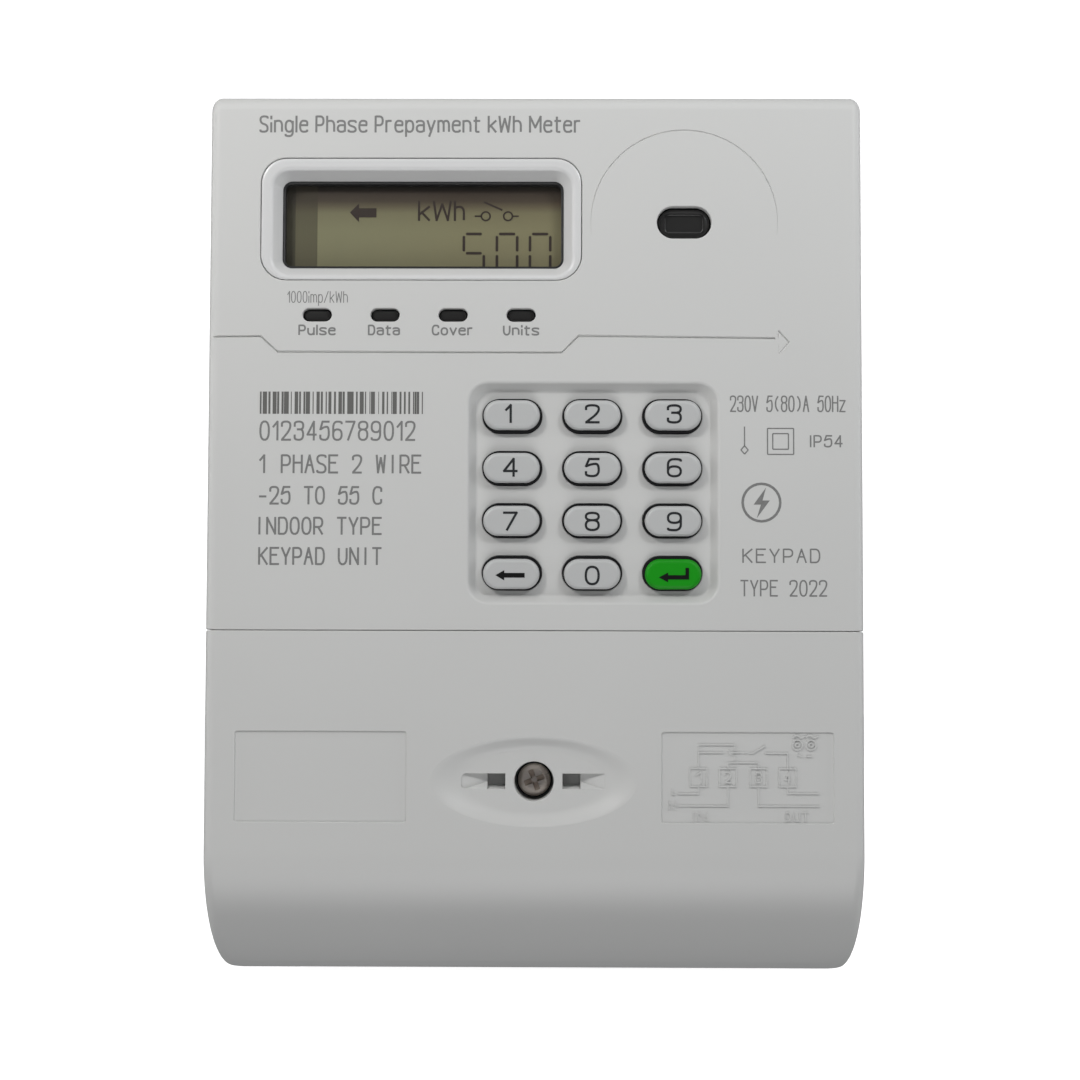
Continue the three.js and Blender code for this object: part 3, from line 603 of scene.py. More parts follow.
STEP_LINE = [(-62.2, 39.0), (-52.8, 39.1), (-49.5, 36.05), (5.1, 36.0), (8.3, 39.2), (46.2, 38.85)]
arc = [(PORT_X + 18 * math.cos(a), PORT_Z + 18 * math.sin(a), share) for a, share in
       ((math.radians(-8 + 196 * i / 72), min(1.0, 0.15 + i / 14, 0.15 + (72 - i) / 14))
        for i in range(73))]
shape(cover, [groove(STEP_LINE, 0.5, 0.45), groove(arc, 0.28, 0.19)])
for line, deep in (([(46.75, 39.0), (46.80, 40.3)], 0.16), ([(46.75, 40.35), (48.80, 38.1)], 0.32),
                   ([(48.80, 38.05), (46.90, 35.95)], 0.18), ([(46.90, 36.0), (46.85, 37.6)], 0.10)):
    shape(cover, [groove(line, 0.38, deep)])
finished(cover, case_plastic, "case", "main_cover", slot="case_plastic")

# ---- display window -----------------------------------------------------------------------------
# A glossy white frame is pressed into the cover and holds a clear flat window over the display. The
# display is a reflective liquid crystal cell; its segments lie in the glass as thin dark shapes.

bezel_plastic = moulded("bezel_plastic", (0.635, 0.635, 0.635), 0.30, tone=0.015, grain=0.04)
y1 = extent("window_bezel")[3]
VIEW = rounded(-49.1, 5.45, 52.8, 69.85, 1.8, 8)
bezel = stack(rounded(-52.97, 8.87, 50.13, 73.77, 4.87, 12), [
    (0, y1), (0, FRONT + 0.24), (-0.07, FRONT + 0.08), (-0.22, FRONT), (-0.7, FRONT - 0.05)],
    "window_bezel_frame")
shape(bezel, [stack(VIEW, [(0, y1 + 2), (0, FRONT + 2.7), (0.12, FRONT + 2.45), (1.5, FRONT + 0.5),
                           (1.75, FRONT + 0.2), (2.1, FRONT + 0.02), (2.5, FRONT - 0.06),
                           (2.5, FRONT - 2)])])
finished(bezel, bezel_plastic, "case", "window_bezel", slot="bezel_plastic")

clear = Finish("clear_window", (0.01, 0.01, 0.01), 0.06, Alpha=0.06, IOR=1.5)
haze = clear.noise(60, 3)
clear.set("Roughness", 0.05 + haze * 0.05)
x0, x1, y0, y1, z0, z1 = extent("lcd_window")
window = stack(rounded(x0, x1, z0, z1, 1.2), [(-0.1, y1), (0, y1 - 0.1), (0, y0 + 0.1), (-0.1, y0)],
               "clear_window")
finished(window, clear, "case", "lcd_window", slot="clear_window")

lining = stack(VIEW, [(0.0, FRONT + 5.2), (0.0, FRONT + 2.75)], "window_gasket")
shape(lining, [stack(VIEW, [(-0.55, FRONT + 9), (-0.45, FRONT + 2.95), (-0.2, FRONT + 2.7),
                            (-0.2, FRONT)])])
finished(lining, black_plastic, "case", slot="black_plastic")

# The cell is olive, browner towards its left edge where the polariser ends, and browner then nearly black
# towards its top: partly the polariser's dark edge, partly painted shadow cast by the bezel's top edge over
# the sunk cell.
x0, x1, y0, y1, z0, z1 = extent("lcd_module")
cell = Finish("display_cell", (0.17, 0.16, 0.10), 0.30)
height, along = cell.axis("Z"), cell.axis("X")
# Painted shadow: this ramp darkens the cell towards its top edge, where the bezel above shades it.
top_edge_and_shadow = cell.node("ValToRGB", {"stops": [
    (0.0, (0.258, 0.244, 0.142)), (0.45, (0.258, 0.250, 0.144)), (0.66, (0.222, 0.210, 0.122)),
    (0.74, (0.140, 0.120, 0.076)), (0.80, (0.078, 0.061, 0.044)), (0.90, (0.050, 0.037, 0.029)),
    (1.0, (0.008, 0.007, 0.006))]}, {0: (height - 52.8) / 17.0})
warm = cell.node("MapRange", inputs={"Value": along, "From Min": -38.0, "From Max": 4.0, "To Max": 0.5})
cloud = cell.noise(50, 3)
tinted = cell.blend((along < -42.6) * 0.62, top_edge_and_shadow, (0.052, 0.043, 0.029))
tinted = cell.blend((along < -46.9) * 0.6, tinted, (0.020, 0.017, 0.014))
browned = cell.node("Mix", {"data_type": "RGBA", "blend_type": "MULTIPLY"},
                    {0: warm, 6: tinted, 7: (1.0, 0.90, 0.84, 1)}, output=2)
cell.set("Base Color", cell.blend(cloud * 0.08, browned, (0.19, 0.19, 0.14)))
cell.set("Roughness", 0.30 + cloud * 0.1)
module = stack(rounded(x0, x1, z0, z1, 0.8, 3), [(0, y1), (0, y0 + 0.2), (-0.2, y0)], "display_cell")
finished(module, cell, "case", "lcd_module", slot="display")

crystal = Finish("dark_crystal", (0.048, 0.036, 0.030), 0.40)
crystal.set("Roughness", 0.3 + crystal.noise(400, 2) * 0.1)
ON_GLASS = y0 - 0.05


def sheet_of(outline, front, thick=0.04):
    """A thin flat shape on the front of something, from its (x, z) outline."""
    return solid("stroke", [[(x, front + thick, z) for x, z in outline],
                            [(x, front, z) for x, z in outline]])


def bar(x0, z0, x1, z1, width, front, thick=0.04, point=0.0):
    """A straight stroke between two points, square or pointed at its ends."""
    way = Vector((x1 - x0, z1 - z0)).normalized()
    side = Vector((-way.y, way.x)) * width / 2
    tip = way * point
    ends = [(x0 + tip.x + side.x, z0 + tip.y + side.y), (x0, z0),
            (x0 + tip.x - side.x, z0 + tip.y - side.y),
            (x1 - tip.x - side.x, z1 - tip.y - side.y), (x1, z1),
            (x1 - tip.x + side.x, z1 - tip.y + side.y)]
    return sheet_of(ends if point else [ends[i] for i in (0, 2, 3, 5)], front, thick)


def ring_of(x, z, radius, width, front, thick=0.04):
    loops = []
    for i in range(28):
        a = 2 * math.pi * i / 28
        c, s = math.cos(a), math.sin(a)
        loops.append([(x + r * c, y, z + r * s) for r, y in (
            (radius - width / 2, front), (radius + width / 2, front),
            (radius + width / 2, front + thick), (radius - width / 2, front + thick))])
    return solid("ring", loops, closed=True)


# Letter strokes on a grid, each point an x and a z digit: the base line is at 2, small letters reach
# 7 and capitals 9. A stroke marked ~ is a smooth open curve, o a smooth ring, and - straight lines.
LETTERS = {
    "0": "o02 09 49 42", "1": "-07 29 22", "2": "~07 09 49 46 02 -02 42",
    "3": "~07 09 49 46 16 ~16 46 42 02 04", "4": "-32 39 04 44", "5": "-49 19 06 ~06 27 47 42 02 04",
    "6": "o02 06 46 42 ~48 49 09 04", "7": "-09 49 12", "8": "o06 09 49 46 o02 06 46 42",
    "9": "o05 09 49 45 ~03 02 42 47", "A": "-02 29 42 -15 35", "C": "~47 49 09 02 42 44",
    "D": "-02 09 ~09 49 42 02", "E": "-49 09 02 42 -06 36", "H": "-02 09 -42 49 -06 46",
    "I": "-22 29", "M": "-02 09 34 69 62", "K": "-02 09 -49 05 -16 42", "N": "-02 09 42 49",
    "O": "o02 09 49 42",
    "P": "-02 09 ~09 49 45 05", "R": "-02 09 ~09 49 45 05 -25 42",
    "S": "~48 49 09 06 45 42 02 03", "T": "-09 49 -29 22", "U": "~09 02 42 49", "V": "-09 22 49",
    "W": "-09 12 38 52 69", "Y": "-09 25 49 -25 22", "a": "~06 07 47 44 42 ~45 05 02 42 44",
    "c": "~46 47 07 02 42 43", "d": "-49 42 o02 07 47 42", "e": "-05 45 ~45 47 07 02 42 43",
    "g": "o02 07 47 42 ~47 44 40 00 01", "h": "-02 09 ~05 07 47 42", "i": "-22 26 -28 29",
    "k": "-02 09 -47 04 -15 42", "l": "-22 29", "m": "-02 07 ~05 07 37 32 ~35 37 67 62",
    "n": "-02 07 ~05 07 47 42", "o": "o02 07 47 42", "p": "-00 07 o02 07 47 42",
    "r": "-02 07 ~04 07 37", "s": "~46 47 07 05 44 42 02 03", "t": "~19 13 12 32 -07 37",
    "u": "~07 02 42 47 -47 42", "v": "-07 22 47", "y": "-07 22 -47 10", "z": "-07 47 02 42",
    "-": "-15 45", "/": "-02 49", "(": "~39 17 14 32", ")": "~19 37 34 12", ".": "-22 23",
}
BASE, CAPITAL, GAP, CELL = 2, 9, 2.1, 5.8


def smooth(points, closed, rounds):
    """Cuts the corners of a line again and again, which leaves a smooth curve."""
    for _ in range(rounds):
        pairs = list(zip(points, points[1:] + points[:1] if closed else points[1:]))
        cut = [(a[0] + (b[0] - a[0]) * t, a[1] + (b[1] - a[1]) * t) for a, b in pairs for t in (0.25, 0.75)]
        points = cut if closed else [points[0]] + cut + [points[-1]]
    return points


def ribbon(line, closed, width, front, thick):
    """A thin flat stroke of even width along a line of (x, z) points."""
    loops = []
    for i, (x, z) in enumerate(line):
        before = line[i - 1] if i or closed else None
        after = line[(i + 1) % len(line)] if i < len(line) - 1 or closed else None
        came = Vector((x - before[0], z - before[1])).normalized() if before else None
        goes = Vector((after[0] - x, after[1] - z)).normalized() if after else came
        came = came or goes
        way = (came + goes).normalized()
        side = Vector((-way.y, way.x)) * width / 2 / max(way.dot(goes), 0.55)
        face = front if closed else front - 0.002 * i / len(line)
        loops.append([(x + side.x, face, z + side.y), (x - side.x, face, z - side.y),
                      (x - side.x, front + thick, z - side.y), (x + side.x, front + thick, z + side.y)])
    return solid("stroke", loops, closed)


def lettering(words, left, right, base, top, front, weight, thick=0.02, even=False, rounds=2):
    """Words in strokes of one weight, as an engraver cuts them, from the base line to the top of the
    capitals. Even lettering gives each letter the same room."""
    placed, at = [], 0.0
    for letter in words:
        strokes = []
        for point in LETTERS.get(letter, "").split():
            if not point[0].isdigit():
                strokes.append((point[0], []))
                point = point[1:]
            strokes[-1][1].append((int(point[0]), int(point[1])))
        xs = [x for _, line in strokes for x, _ in line] or [0, 1]
        squeeze = 4 / (max(xs) - min(xs)) if even and max(xs) - min(xs) > 4 else 1
        shift = at + 2 - (min(xs) + max(xs)) / 2 * squeeze if even else at - min(xs)
        at += CELL if even else max(xs) - min(xs) + GAP
        placed += [(kind, [(x * squeeze + shift, z) for x, z in line]) for kind, line in strokes]
    xs = [x for _, line in placed for x, _ in line]
    wide = (right - left - weight) / max(max(xs) - min(xs), 0.1)
    high = (top - base - weight) / (CAPITAL - BASE)
    pieces = []
    for count, (kind, line) in enumerate(placed):
        line = [(left + weight / 2 + (x - min(xs)) * wide, base + weight / 2 + (z - BASE) * high)
                for x, z in line]
        depth = front - 0.001 * (count % 3)
        if kind != "-":
            pieces.append(ribbon(smooth(line, kind == "o", rounds), kind == "o", weight, depth, thick))
            continue
        for i, (start, end) in enumerate(zip(line, line[1:])):
            over = Vector((end[0] - start[0], end[1] - start[1])).normalized() * weight * 0.35
            line_out = [(start[0] - over.x, start[1] - over.y), (end[0] + over.x, end[1] + over.y)]
            pieces.append(ribbon(line_out, False, weight, depth - 0.0004 * (i % 2), thick))
    return join(pieces, "letters")


shown = [sheet_of([(-36.3, 64.2), (-34.5, 66.0), (-34.5, 65.05), (-31.1, 65.05), (-31.1, 63.25),
                   (-34.5, 63.25), (-34.5, 62.3)], ON_GLASS),
         lettering("k", -23.0, -20.6, 62.5, 66.6, ON_GLASS, 0.44, 0.04),
         lettering("W", -20.1, -16.4, 62.5, 66.6, ON_GLASS, 0.42, 0.04),
         lettering("h", -16.0, -13.8, 62.5, 66.6, ON_GLASS, 0.44, 0.04),
         bar(-11.9, 63.5, -10.6, 63.5, 0.3, ON_GLASS), ring_of(-9.75, 63.5, 0.85, 0.32, ON_GLASS),
         ring_of(-5.4, 63.5, 0.85, 0.32, ON_GLASS), bar(-4.5, 63.5, -3.3, 63.5, 0.3, ON_GLASS),
         bar(-6.5, 64.7, -10.1, 66.3, 0.34, ON_GLASS)]
SEGMENT = 0.52
for left_x, right_x, parts in ((-14.0, -10.1, "agf c"), (-7.55, -3.6, "abcfe"), (-1.1, 2.85, "abcfe")):
    a_z, mid_z, low_z = 60.0, 56.2, 52.0
    strokes = {"a": (left_x + 0.35, a_z, right_x - 0.35, a_z),
               "g": (left_x + 0.35, mid_z, right_x - 0.35, mid_z),
               "f": (left_x, mid_z + 0.3, left_x, a_z - 0.35),
               "b": (right_x, mid_z + 0.3, right_x, a_z - 0.35),
               "e": (left_x, low_z, left_x, mid_z - 0.3),
               "c": (right_x, low_z, right_x, mid_z - 0.3)}
    shown += [bar(*strokes[p], SEGMENT, ON_GLASS, point=0.18) for p in parts if p != " "]
digits = join(shown, "display_segments")
finished(digits, crystal, "case", slot="display")

# ---- indicators and optical port ----------------------------------------------------------------
# Four slots show the ends of one smoked light pipe, and the port is a smoked lens over the reading
# head's emitter. Both are clipped in from behind, a little below the face.

smoked = moulded("smoked_lens", (0.016, 0.0155, 0.015), 0.32, tone=0.3, grain=0.08)
pipe_box = extent("led_light_pipe")
PIPE = FRONT + 0.95
pipes = [stack(stadium(x, LED_Z, 5.1, 2.05), [(0, pipe_box[3]), (0, PIPE + 0.3), (-0.08, PIPE + 0.1),
                                                (-0.3, PIPE), (-0.7, PIPE - 0.03)]) for x in LED_X]
spine = block(LED_X[0] - 4, LED_X[-1] + 4, pipe_box[3], FRONT + 2.6, LED_Z - 1.7, LED_Z + 1.7)
pipe = shape(spine, pipes, "UNION")
pipe.name = "light_pipe"
finished(pipe, smoked, "case", "led_light_pipe", slot="smoked_lens")

lens = stack(stadium(PORT_X, PORT_Z, 9.9, 5.6, 12), [
    (1.1, port_box[3]), (1.1, FRONT + 2.6), (0, FRONT + 2.6), (0, FRONT + 1.6), (-0.1, FRONT + 1.35),
    (-0.35, FRONT + 1.2), (-0.9, FRONT + 1.15)], "port_lens")
shape(lens, [stack(rounded(PORT_X - 3.7, PORT_X + 3.7, PORT_Z - 1.75, PORT_Z + 1.75, 0.8, 6),
                   [(-0.25, FRONT + 1.75), (0, FRONT + 1.6), (0.12, FRONT + 1.1), (0.12, FRONT)])])
finished(lens, smoked, "case", "ir_lens", slot="smoked_lens")

# ---- keys ---------------------------------------------------------------------------------------
# Twelve separate caps of hard plastic stand through holes in the keypad, each on a black skirt that
# a rubber mat pushes back out. Legends are printed, and the enter key is moulded in green.

key_plastic = moulded("key_plastic", (0.485, 0.49, 0.488), 0.38, tone=0.02, grain=0.06)
enter_plastic = moulded("enter_plastic", (0.004, 0.275, 0.003), 0.5, tone=0.04, grain=0.06,
                        Specular_IOR_Level=0.25)
skirt_rubber = moulded("skirt_rubber", (0.006, 0.006, 0.007), 0.65, tone=0.15, Specular_IOR_Level=0.2)
legend_ink = Finish("legend_ink", (0.020, 0.021, 0.023), 0.6, Specular_IOR_Level=0.25)
legend_ink.set("Roughness", 0.45 + legend_ink.noise(900, 2) * 0.15)
dark_ink = Finish("dark_ink", (0.005, 0.005, 0.005), 0.6, Specular_IOR_Level=0.15)
dark_ink.set("Roughness", 0.45 + dark_ink.noise(900, 2) * 0.15)
CAP = FRONT + 0.1
CAP_RIM = [(0, -54.0), (0, CAP + 0.85), (-0.05, CAP + 0.58), (-0.17, CAP + 0.34), (-0.36, CAP + 0.15),
           (-0.62, CAP + 0.04), (-0.95, CAP)]
PITCH_X, PITCH_Z, MID_X, MID_Z = 14.9, 9.6, 11.0, 8.8
for node, (hole_x, hole_z) in key_centres.items():
    word = node[4:]
    # The mat has dried a little larger than the cover, so caps sit outwards in their holes.
    spread_x, spread_z = (hole_x - MID_X) / PITCH_X, (hole_z - MID_Z) / PITCH_Z
    x, z = hole_x + 0.10 * spread_x, hole_z + 0.11 * spread_z - 0.05
    cap = stack(stadium(x, z, 10.85, 5.8, 12), CAP_RIM, node + "_cap")
    finished(cap, enter_plastic if word == "enter" else key_plastic, node, node,
             slot="green_plastic" if word == "enter" else "key_plastic", angle=50)
    skirt = stack(stadium(hole_x, hole_z + 0.03, 11.4, 6.5, 10), [
        (0.6, -50.7), (0.6, -51.8), (0, -51.9), (0, -54.9), (-0.12, -55.05)], node + "_skirt")
    shape(skirt, [stack(stadium(hole_x, hole_z, 6, 3.5, 6), [(0, -50.9), (0, -47.4)])], "UNION")
    finished(skirt, skirt_rubber, node, slot="black_plastic")
    ink = CAP - 0.02
    x, z = hole_x + 0.30 * spread_x, hole_z + 0.27 * spread_z - 0.10
    if word == "back":
        mark = sheet_of([(x - 2.8, z), (x - 1.1, z + 1.0), (x - 1.1, z + 0.45), (x + 2.8, z + 0.45),
                         (x + 2.8, z - 0.45), (x - 1.1, z - 0.45), (x - 1.1, z - 1.0)], ink)
    elif word == "enter":
        mark = sheet_of([(x - 3.0, z - 0.35), (x - 1.2, z + 0.6), (x - 1.2, z + 0.1), (x + 2.1, z + 0.1),
                         (x + 2.1, z + 1.5), (x + 2.8, z + 1.5), (x + 2.8, z - 0.75),
                         (x - 1.2, z - 0.75), (x - 1.2, z - 1.3)], ink)
    else:
        left_x, right_x = (x - 1.1, x + 0.25) if word == "1" else (x - 1.45, x + 1.45)
        mark = lettering(word, left_x, right_x, z - 1.87, z + 1.87, ink, 0.46, 0.03, rounds=3)
    mark.name = node + "_legend"
    finished(mark, legend_ink if word.isdigit() else dark_ink, node)

# ---- terminal cover -----------------------------------------------------------------------------
# The lower shell closes the wiring space. Its bottom sweeps back to the wall in one quarter ellipse,
# and one sealable screw in a soft dish pulls it on. Two shallow label fields flank the dish.

COVER_TOP = SEAM - 0.12
SWEEP, SWEEP_DEEP, SWEEP_POWER = 26.5, PARTING - FRONT, 1.9


def swept(turn, inset=0.0):
    """(z, y) of the sweep at an angle, 0 where it leaves the flat front. It is a lean ellipse."""
    down, out = [value ** (2 / SWEEP_POWER) for value in (math.sin(turn), math.cos(turn))]
    return BOTTOM + SWEEP - (SWEEP - inset) * down, PARTING - (SWEEP_DEEP - inset) * out


loops = [across(COVER_TOP - lift, inset) for inset, lift in rim]
STEPS = 30
for i in range(STEPS + 1):
    turn = math.radians(88.2) * i / STEPS
    z, y = swept(turn)
    pinch = 0.6 * math.sin(turn) ** 5
    loops.append(across(z, 0, front=y, half=HALF - pinch, radius=EDGE + 1.6 * math.sin(turn) ** 2))
shell = solid("terminal_cover_shell", loops)
inner = [across(COVER_TOP + 6, 0, FRONT + WALL, 0.6, HALF - WALL, 5, 2)]
for i in range(17):
    z, y = swept(QUARTER * i / 16, WALL)
    inner.append(across(z, 0, y, 0.6, HALF - WALL - 0.5 * math.sin(QUARTER * i / 16), 5, 2))
shape(shell, [solid("cutter", inner)])


def oval(x, z, width, height, steps=72):
    return lambda share: [(x + width / 2 * share * math.cos(a), z + height / 2 * share * math.sin(a))
                          for a in full_turn(steps)]


DISH, DISH_DEPTH = oval(0, SCREW_Z, 39.4, 17.2), 1.6
seat = FRONT + 11.4
shape(shell, [stack(oval(0, SCREW_Z, 43.4, 21.2), [(1, FRONT + 6.6), (1, FRONT + WALL - 0.5)]),
              block(23, 25, -43.3, FRONT + WALL - 0.5, -31, -29)], "UNION")
shape(shell, [rod(0, SCREW_Z, 5.5, seat + 2, FRONT + WALL - 0.3)], "UNION")
levels = []
for i in range(15):
    share = 0.67 + 0.33 * i / 14
    inward = (1 - share) / 0.33
    levels.append((share, FRONT + DISH_DEPTH * (1 - (1 - inward ** 1.5) ** 2.2)))
levels[-1] = (1.0, FRONT + 0.002)
shape(shell, [stack(DISH, [(0.05, FRONT + DISH_DEPTH)]
                    + levels + [(1.004, FRONT - 0.01), (1.004, FRONT - 3)])])

FLOOR_Y = FRONT + DISH_DEPTH
cuts = [turned("cutter", [(2.4, seat + 6), (2.4, seat), (3.75, seat), (3.75, FLOOR_Y + 0.35),
                          (3.84, FLOOR_Y + 0.12), (4.05, FLOOR_Y), (4.05, FRONT - 2)], 0, SCREW_Z, 64)]
# Each ramp for the seal wire: distance from the screw, half height, depth, and the floor's low edge.
RAMP = [(8.9, 1.5, 3.1, 0.1), (8.75, 1.5, 5.2, 0.8), (5.45, 1.5, 5.7, 0.8)]
ROUND_END = [(13.9, 0.75, 1.80, 0.7), (13.75, 1.1, 1.87, 1.05), (13.4, 1.4, 1.97, 1.35),
             (12.9, 1.5, 2.07, 1.4)]
OPEN_END = [(13.6, 1.45, 1.64, 1.4), (13.0, 1.5, 1.84, 1.4)]
for side, end in ((-1, ROUND_END), (1, OPEN_END)):
    cuts.append(solid("cutter", [
        [(side * x, FRONT - 1, SCREW_Z - half), (side * x, FLOOR_Y - 0.05, SCREW_Z - half),
         (side * x, FRONT + deep, SCREW_Z - low), (side * x, FRONT + deep, SCREW_Z + half),
         (side * x, FRONT - 1, SCREW_Z + half)] for x, half, deep, low in end + RAMP]))
for x0, x1 in ((-57, -24.3), (24.3, 57)):
    cuts.append(stack(rounded(x0, x1, -53.9, -36.6, 0.5, 3),
                      [(-0.1, FRONT + 0.32), (0, FRONT + 0.22), (0.06, FRONT), (0.06, FRONT - 2)]))
cuts.append(block(-48, 48, 5, -24.5, BOTTOM - 5, BOTTOM + 9))
shape(shell, cuts)
finished(shell, case_plastic, "terminal_cover", "terminal_cover", slot="case_plastic")

# Wiring diagram in low relief on the right field: four terminals, their feeds, coil and contact.
RELIEF, RAISED = FRONT + 0.1, 0.26
LINE = 0.25
t_x = [31.3, 36.9, 42.7, 48.2]
box_low, box_high = -46.9, -43.5
lines = []
for x in t_x:
    corners = [(x - 1.6, box_low), (x + 1.6, box_low), (x + 1.6, box_high), (x - 1.6, box_high)]
    lines.append((True, corners))
lines += [(False, line) for line in (
    [(31.3, box_high), (31.3, -39.0), (38.2, -39.0)], [(31.3, -40.5), (36.0, -40.5)],
    [(38.2, -38.7), (38.2, -40.2)], [(38.2, -40.9), (38.2, -41.9)], [(37.1, -40.5), (39.3, -40.5)],
    [(37.0, -40.0), (37.6, -41.0)], [(39.8, -40.5), (40.4, -40.5)], [(40.9, -40.6), (41.6, -40.6)],
    [(41.6, -40.6), (44.0, -39.2)], [(43.9, -40.6), (48.2, -40.6), (48.2, box_high)],
    [(36.9, box_high), (36.9, -42.4), (42.7, -42.4), (42.7, box_high)],
    [(31.3, box_low), (31.3, -48.3), (27.4, -48.3)], [(36.9, box_low), (36.9, -50.6), (27.4, -50.6)],
    [(42.7, box_low), (42.7, -50.6), (54.2, -50.6)], [(48.2, box_low), (48.2, -48.2), (54.2, -48.2)],
    [(26.3, -47.3), (26.3, -48.4), (26.9, -48.4)],
    [(50.2, -40.9), (51.0, -41.3)], [(51.8, -41.2), (52.8, -41.2)])]
relief = [ribbon(line, closed, LINE, RELIEF, RAISED) for closed, line in lines]
relief += [ring_of(x, -39.0, radius, LINE, RELIEF, RAISED)
           for x in (50.1, 52.7) for radius in (0.95, 0.35)]
relief += [ribbon(smooth([(x - 1.2, -37.6), (x - 0.4, -37.0),
                          (x + 0.4, -37.8), (x + 1.2, -37.3)], False, 2),
                  False, LINE, RELIEF, RAISED) for x in (50.4, 52.9)]
relief += [lettering(str(i + 1), x - 0.65, x + 0.65, -46.3, -44.1, RELIEF, LINE, RAISED)
           for i, x in enumerate(t_x)]
relief += [lettering("N", 25.6, 27.0, -51.4, -49.7, RELIEF, 0.2, RAISED),
           lettering("IN", 30.2, 33.0, -53.5, -51.7, RELIEF, 0.2, RAISED),
           lettering("OUT", 47.6, 52.2, -53.5, -51.7, RELIEF, 0.2, RAISED)]
finished(join(relief, "wiring_diagram"), case_plastic, "terminal_cover", slot="case_plastic")

# ---- cover screw --------------------------------------------------------------------------------
# A nickel plated steel screw with a cross recess sits deep in the dish. A seal wire is led through
# the two slots beside it, and a plastic washer keeps the screw in the cover.

y0, y1 = extent("seal_screw")[2:4]
HEAD = y0
profile = [(0.2, y1), (1.2, y1 - 0.2), (1.75, y1 - 1.0), (1.75, HEAD + 2.4), (3.05, HEAD + 2.4),
           (3.2, HEAD + 2.2), (3.2, HEAD + 0.95), (3.12, HEAD + 0.64), (2.95, HEAD + 0.44),
           (2.6, HEAD + 0.24), (2.1, HEAD + 0.11), (1.2, HEAD + 0.03), (0.5, HEAD)]
screw = turned("seal_screw_head", profile, 0, SCREW_Z, 48)
for angle in (20, 110):
    c, s = math.cos(math.radians(angle)), math.sin(math.radians(angle))
    wing = [[(c * u - s * v, y, SCREW_Z + s * u + c * v) for u, v in
             ((-u1, -v1), (u1, -v1), (u1, v1), (-u1, v1))]
            for u1, v1, y in ((0.6, 0.25, HEAD + 1.7), (2.05, 0.52, HEAD + 0.1), (2.3, 0.6, HEAD - 1))]
    shape(screw, [solid("cutter", wing)])
thread = helix.grow("thread", Turns=19.0, Radius=0.0018, Length=0.0133, Section=0.00021,
                    Turn=(QUARTER, 0, 0), Place=(0, (y1 - 1.2) * MM, SCREW_Z * MM),
                    Material=nickel.material)
finished(join([screw, thread], "seal_screw_cross"), nickel, "seal_screw", "seal_screw",
         slot="nickel_steel")

y0, y1 = extent("seal_screw_washer")[2:4]
washer = solid("seal_washer", [[(r * math.cos(a), y, SCREW_Z + r * math.sin(a)) for r, y in
                                ((2.25, y1), (3.3, y1), (3.4, y1 - 0.1), (3.4, y0 + 0.1), (3.3, y0),
                                 (2.25, y0))] for a in full_turn(48)],
               closed=True)
finished(washer, black_plastic, "seal_screw_washer", "seal_screw_washer", slot="black_plastic")

# ---- printing -----------------------------------------------------------------------------------
# Thin grey pad printing on the main cover: a title, a numbered bar strip, ratings and symbols. The
# words are generic ones for such a meter.

grey_ink = Finish("grey_ink", (0.19, 0.19, 0.188), 0.55)
speckle = grey_ink.noise(1500, 2)
grey_ink.set("Base Color", grey_ink.blend(speckle, (0.15, 0.15, 0.148), (0.225, 0.225, 0.222)))
grey_ink.set("Roughness", 0.5 + speckle * 0.15)
PRINT = FRONT - 0.015
# Words, left, right, base line, top of the capitals, weight, and whether each letter has equal room.
ROWS = [
    ("Single Phase Prepayment kWh Meter", -53.5, 8.8, 78.8, 82.2, 0.41, False),
    ("1000imp/kWh", -47.8, -36.1, 45.6, 47.9, 0.17, False),
    ("Pulse", -45.6, -38.4, 39.3, 41.4, 0.34, False),
    ("Data", -32.2, -26.0, 39.3, 41.4, 0.34, False), ("Cover", -19.9, -11.9, 39.3, 41.4, 0.34, False),
    ("Units", -6.2, 0.8, 39.3, 41.4, 0.34, False), ("0123456789012", -52.9, -22.9, 18.9, 22.8, 0.40, False),
    ("1 PHASE 2 WIRE", -52.9, -21.7, 12.6, 16.3, 0.40, True),
    ("-25 TO 55 C", -52.9, -29.2, 6.6, 10.2, 0.40, True),
    ("INDOOR TYPE", -52.9, -29.2, 0.8, 4.3, 0.40, True),
    ("KEYPAD UNIT", -52.9, -29.2, -5.0, -1.5, 0.40, True),
    ("230V 5(80)A 50Hz", 37.4, 59.6, 24.6, 27.8, 0.28, True), ("IP54", 52.7, 59.0, 17.8, 20.2, 0.30, False),
    ("KEYPAD", 39.7, 54.6, -4.4, -1.6, 0.30, False), ("TYPE 2022", 39.3, 55.9, -10.8, -7.6, 0.30, True)]
marks = [lettering(words, left, right, base, top, PRINT, weight, even=even)
         for words, left, right, base, top, weight, even in ROWS]
marks += [bar(40.2, 21.8, 40.2, 18.0, 0.24, PRINT), bar(40.2, 18.1, 39.5, 17.3, 0.24, PRINT),
          bar(39.5, 17.3, 40.2, 16.5, 0.24, PRINT), bar(40.2, 16.5, 40.9, 17.3, 0.24, PRINT),
          bar(40.9, 17.3, 40.2, 18.1, 0.24, PRINT)]
SQUARE_X, SQUARE_Z = 47.1, 18.95
for half in (2.5, 1.5):
    corners = [(SQUARE_X + i * half, SQUARE_Z + j * half)
               for i, j in ((-1, -1), (1, -1), (1, 1), (-1, 1))]
    marks += [bar(*a, *b, 0.24, PRINT) for a, b in zip(corners, corners[1:] + corners[:1])]
marks += [ring_of(43.4, 7.2, 3.6, 0.5, PRINT), sheet_of([
    (44.3, 10.1), (41.9, 6.8), (43.3, 6.8), (42.5, 4.2), (45.0, 7.6), (43.6, 7.6)], PRINT)]
finished(join(marks, "printing"), grey_ink, "case")

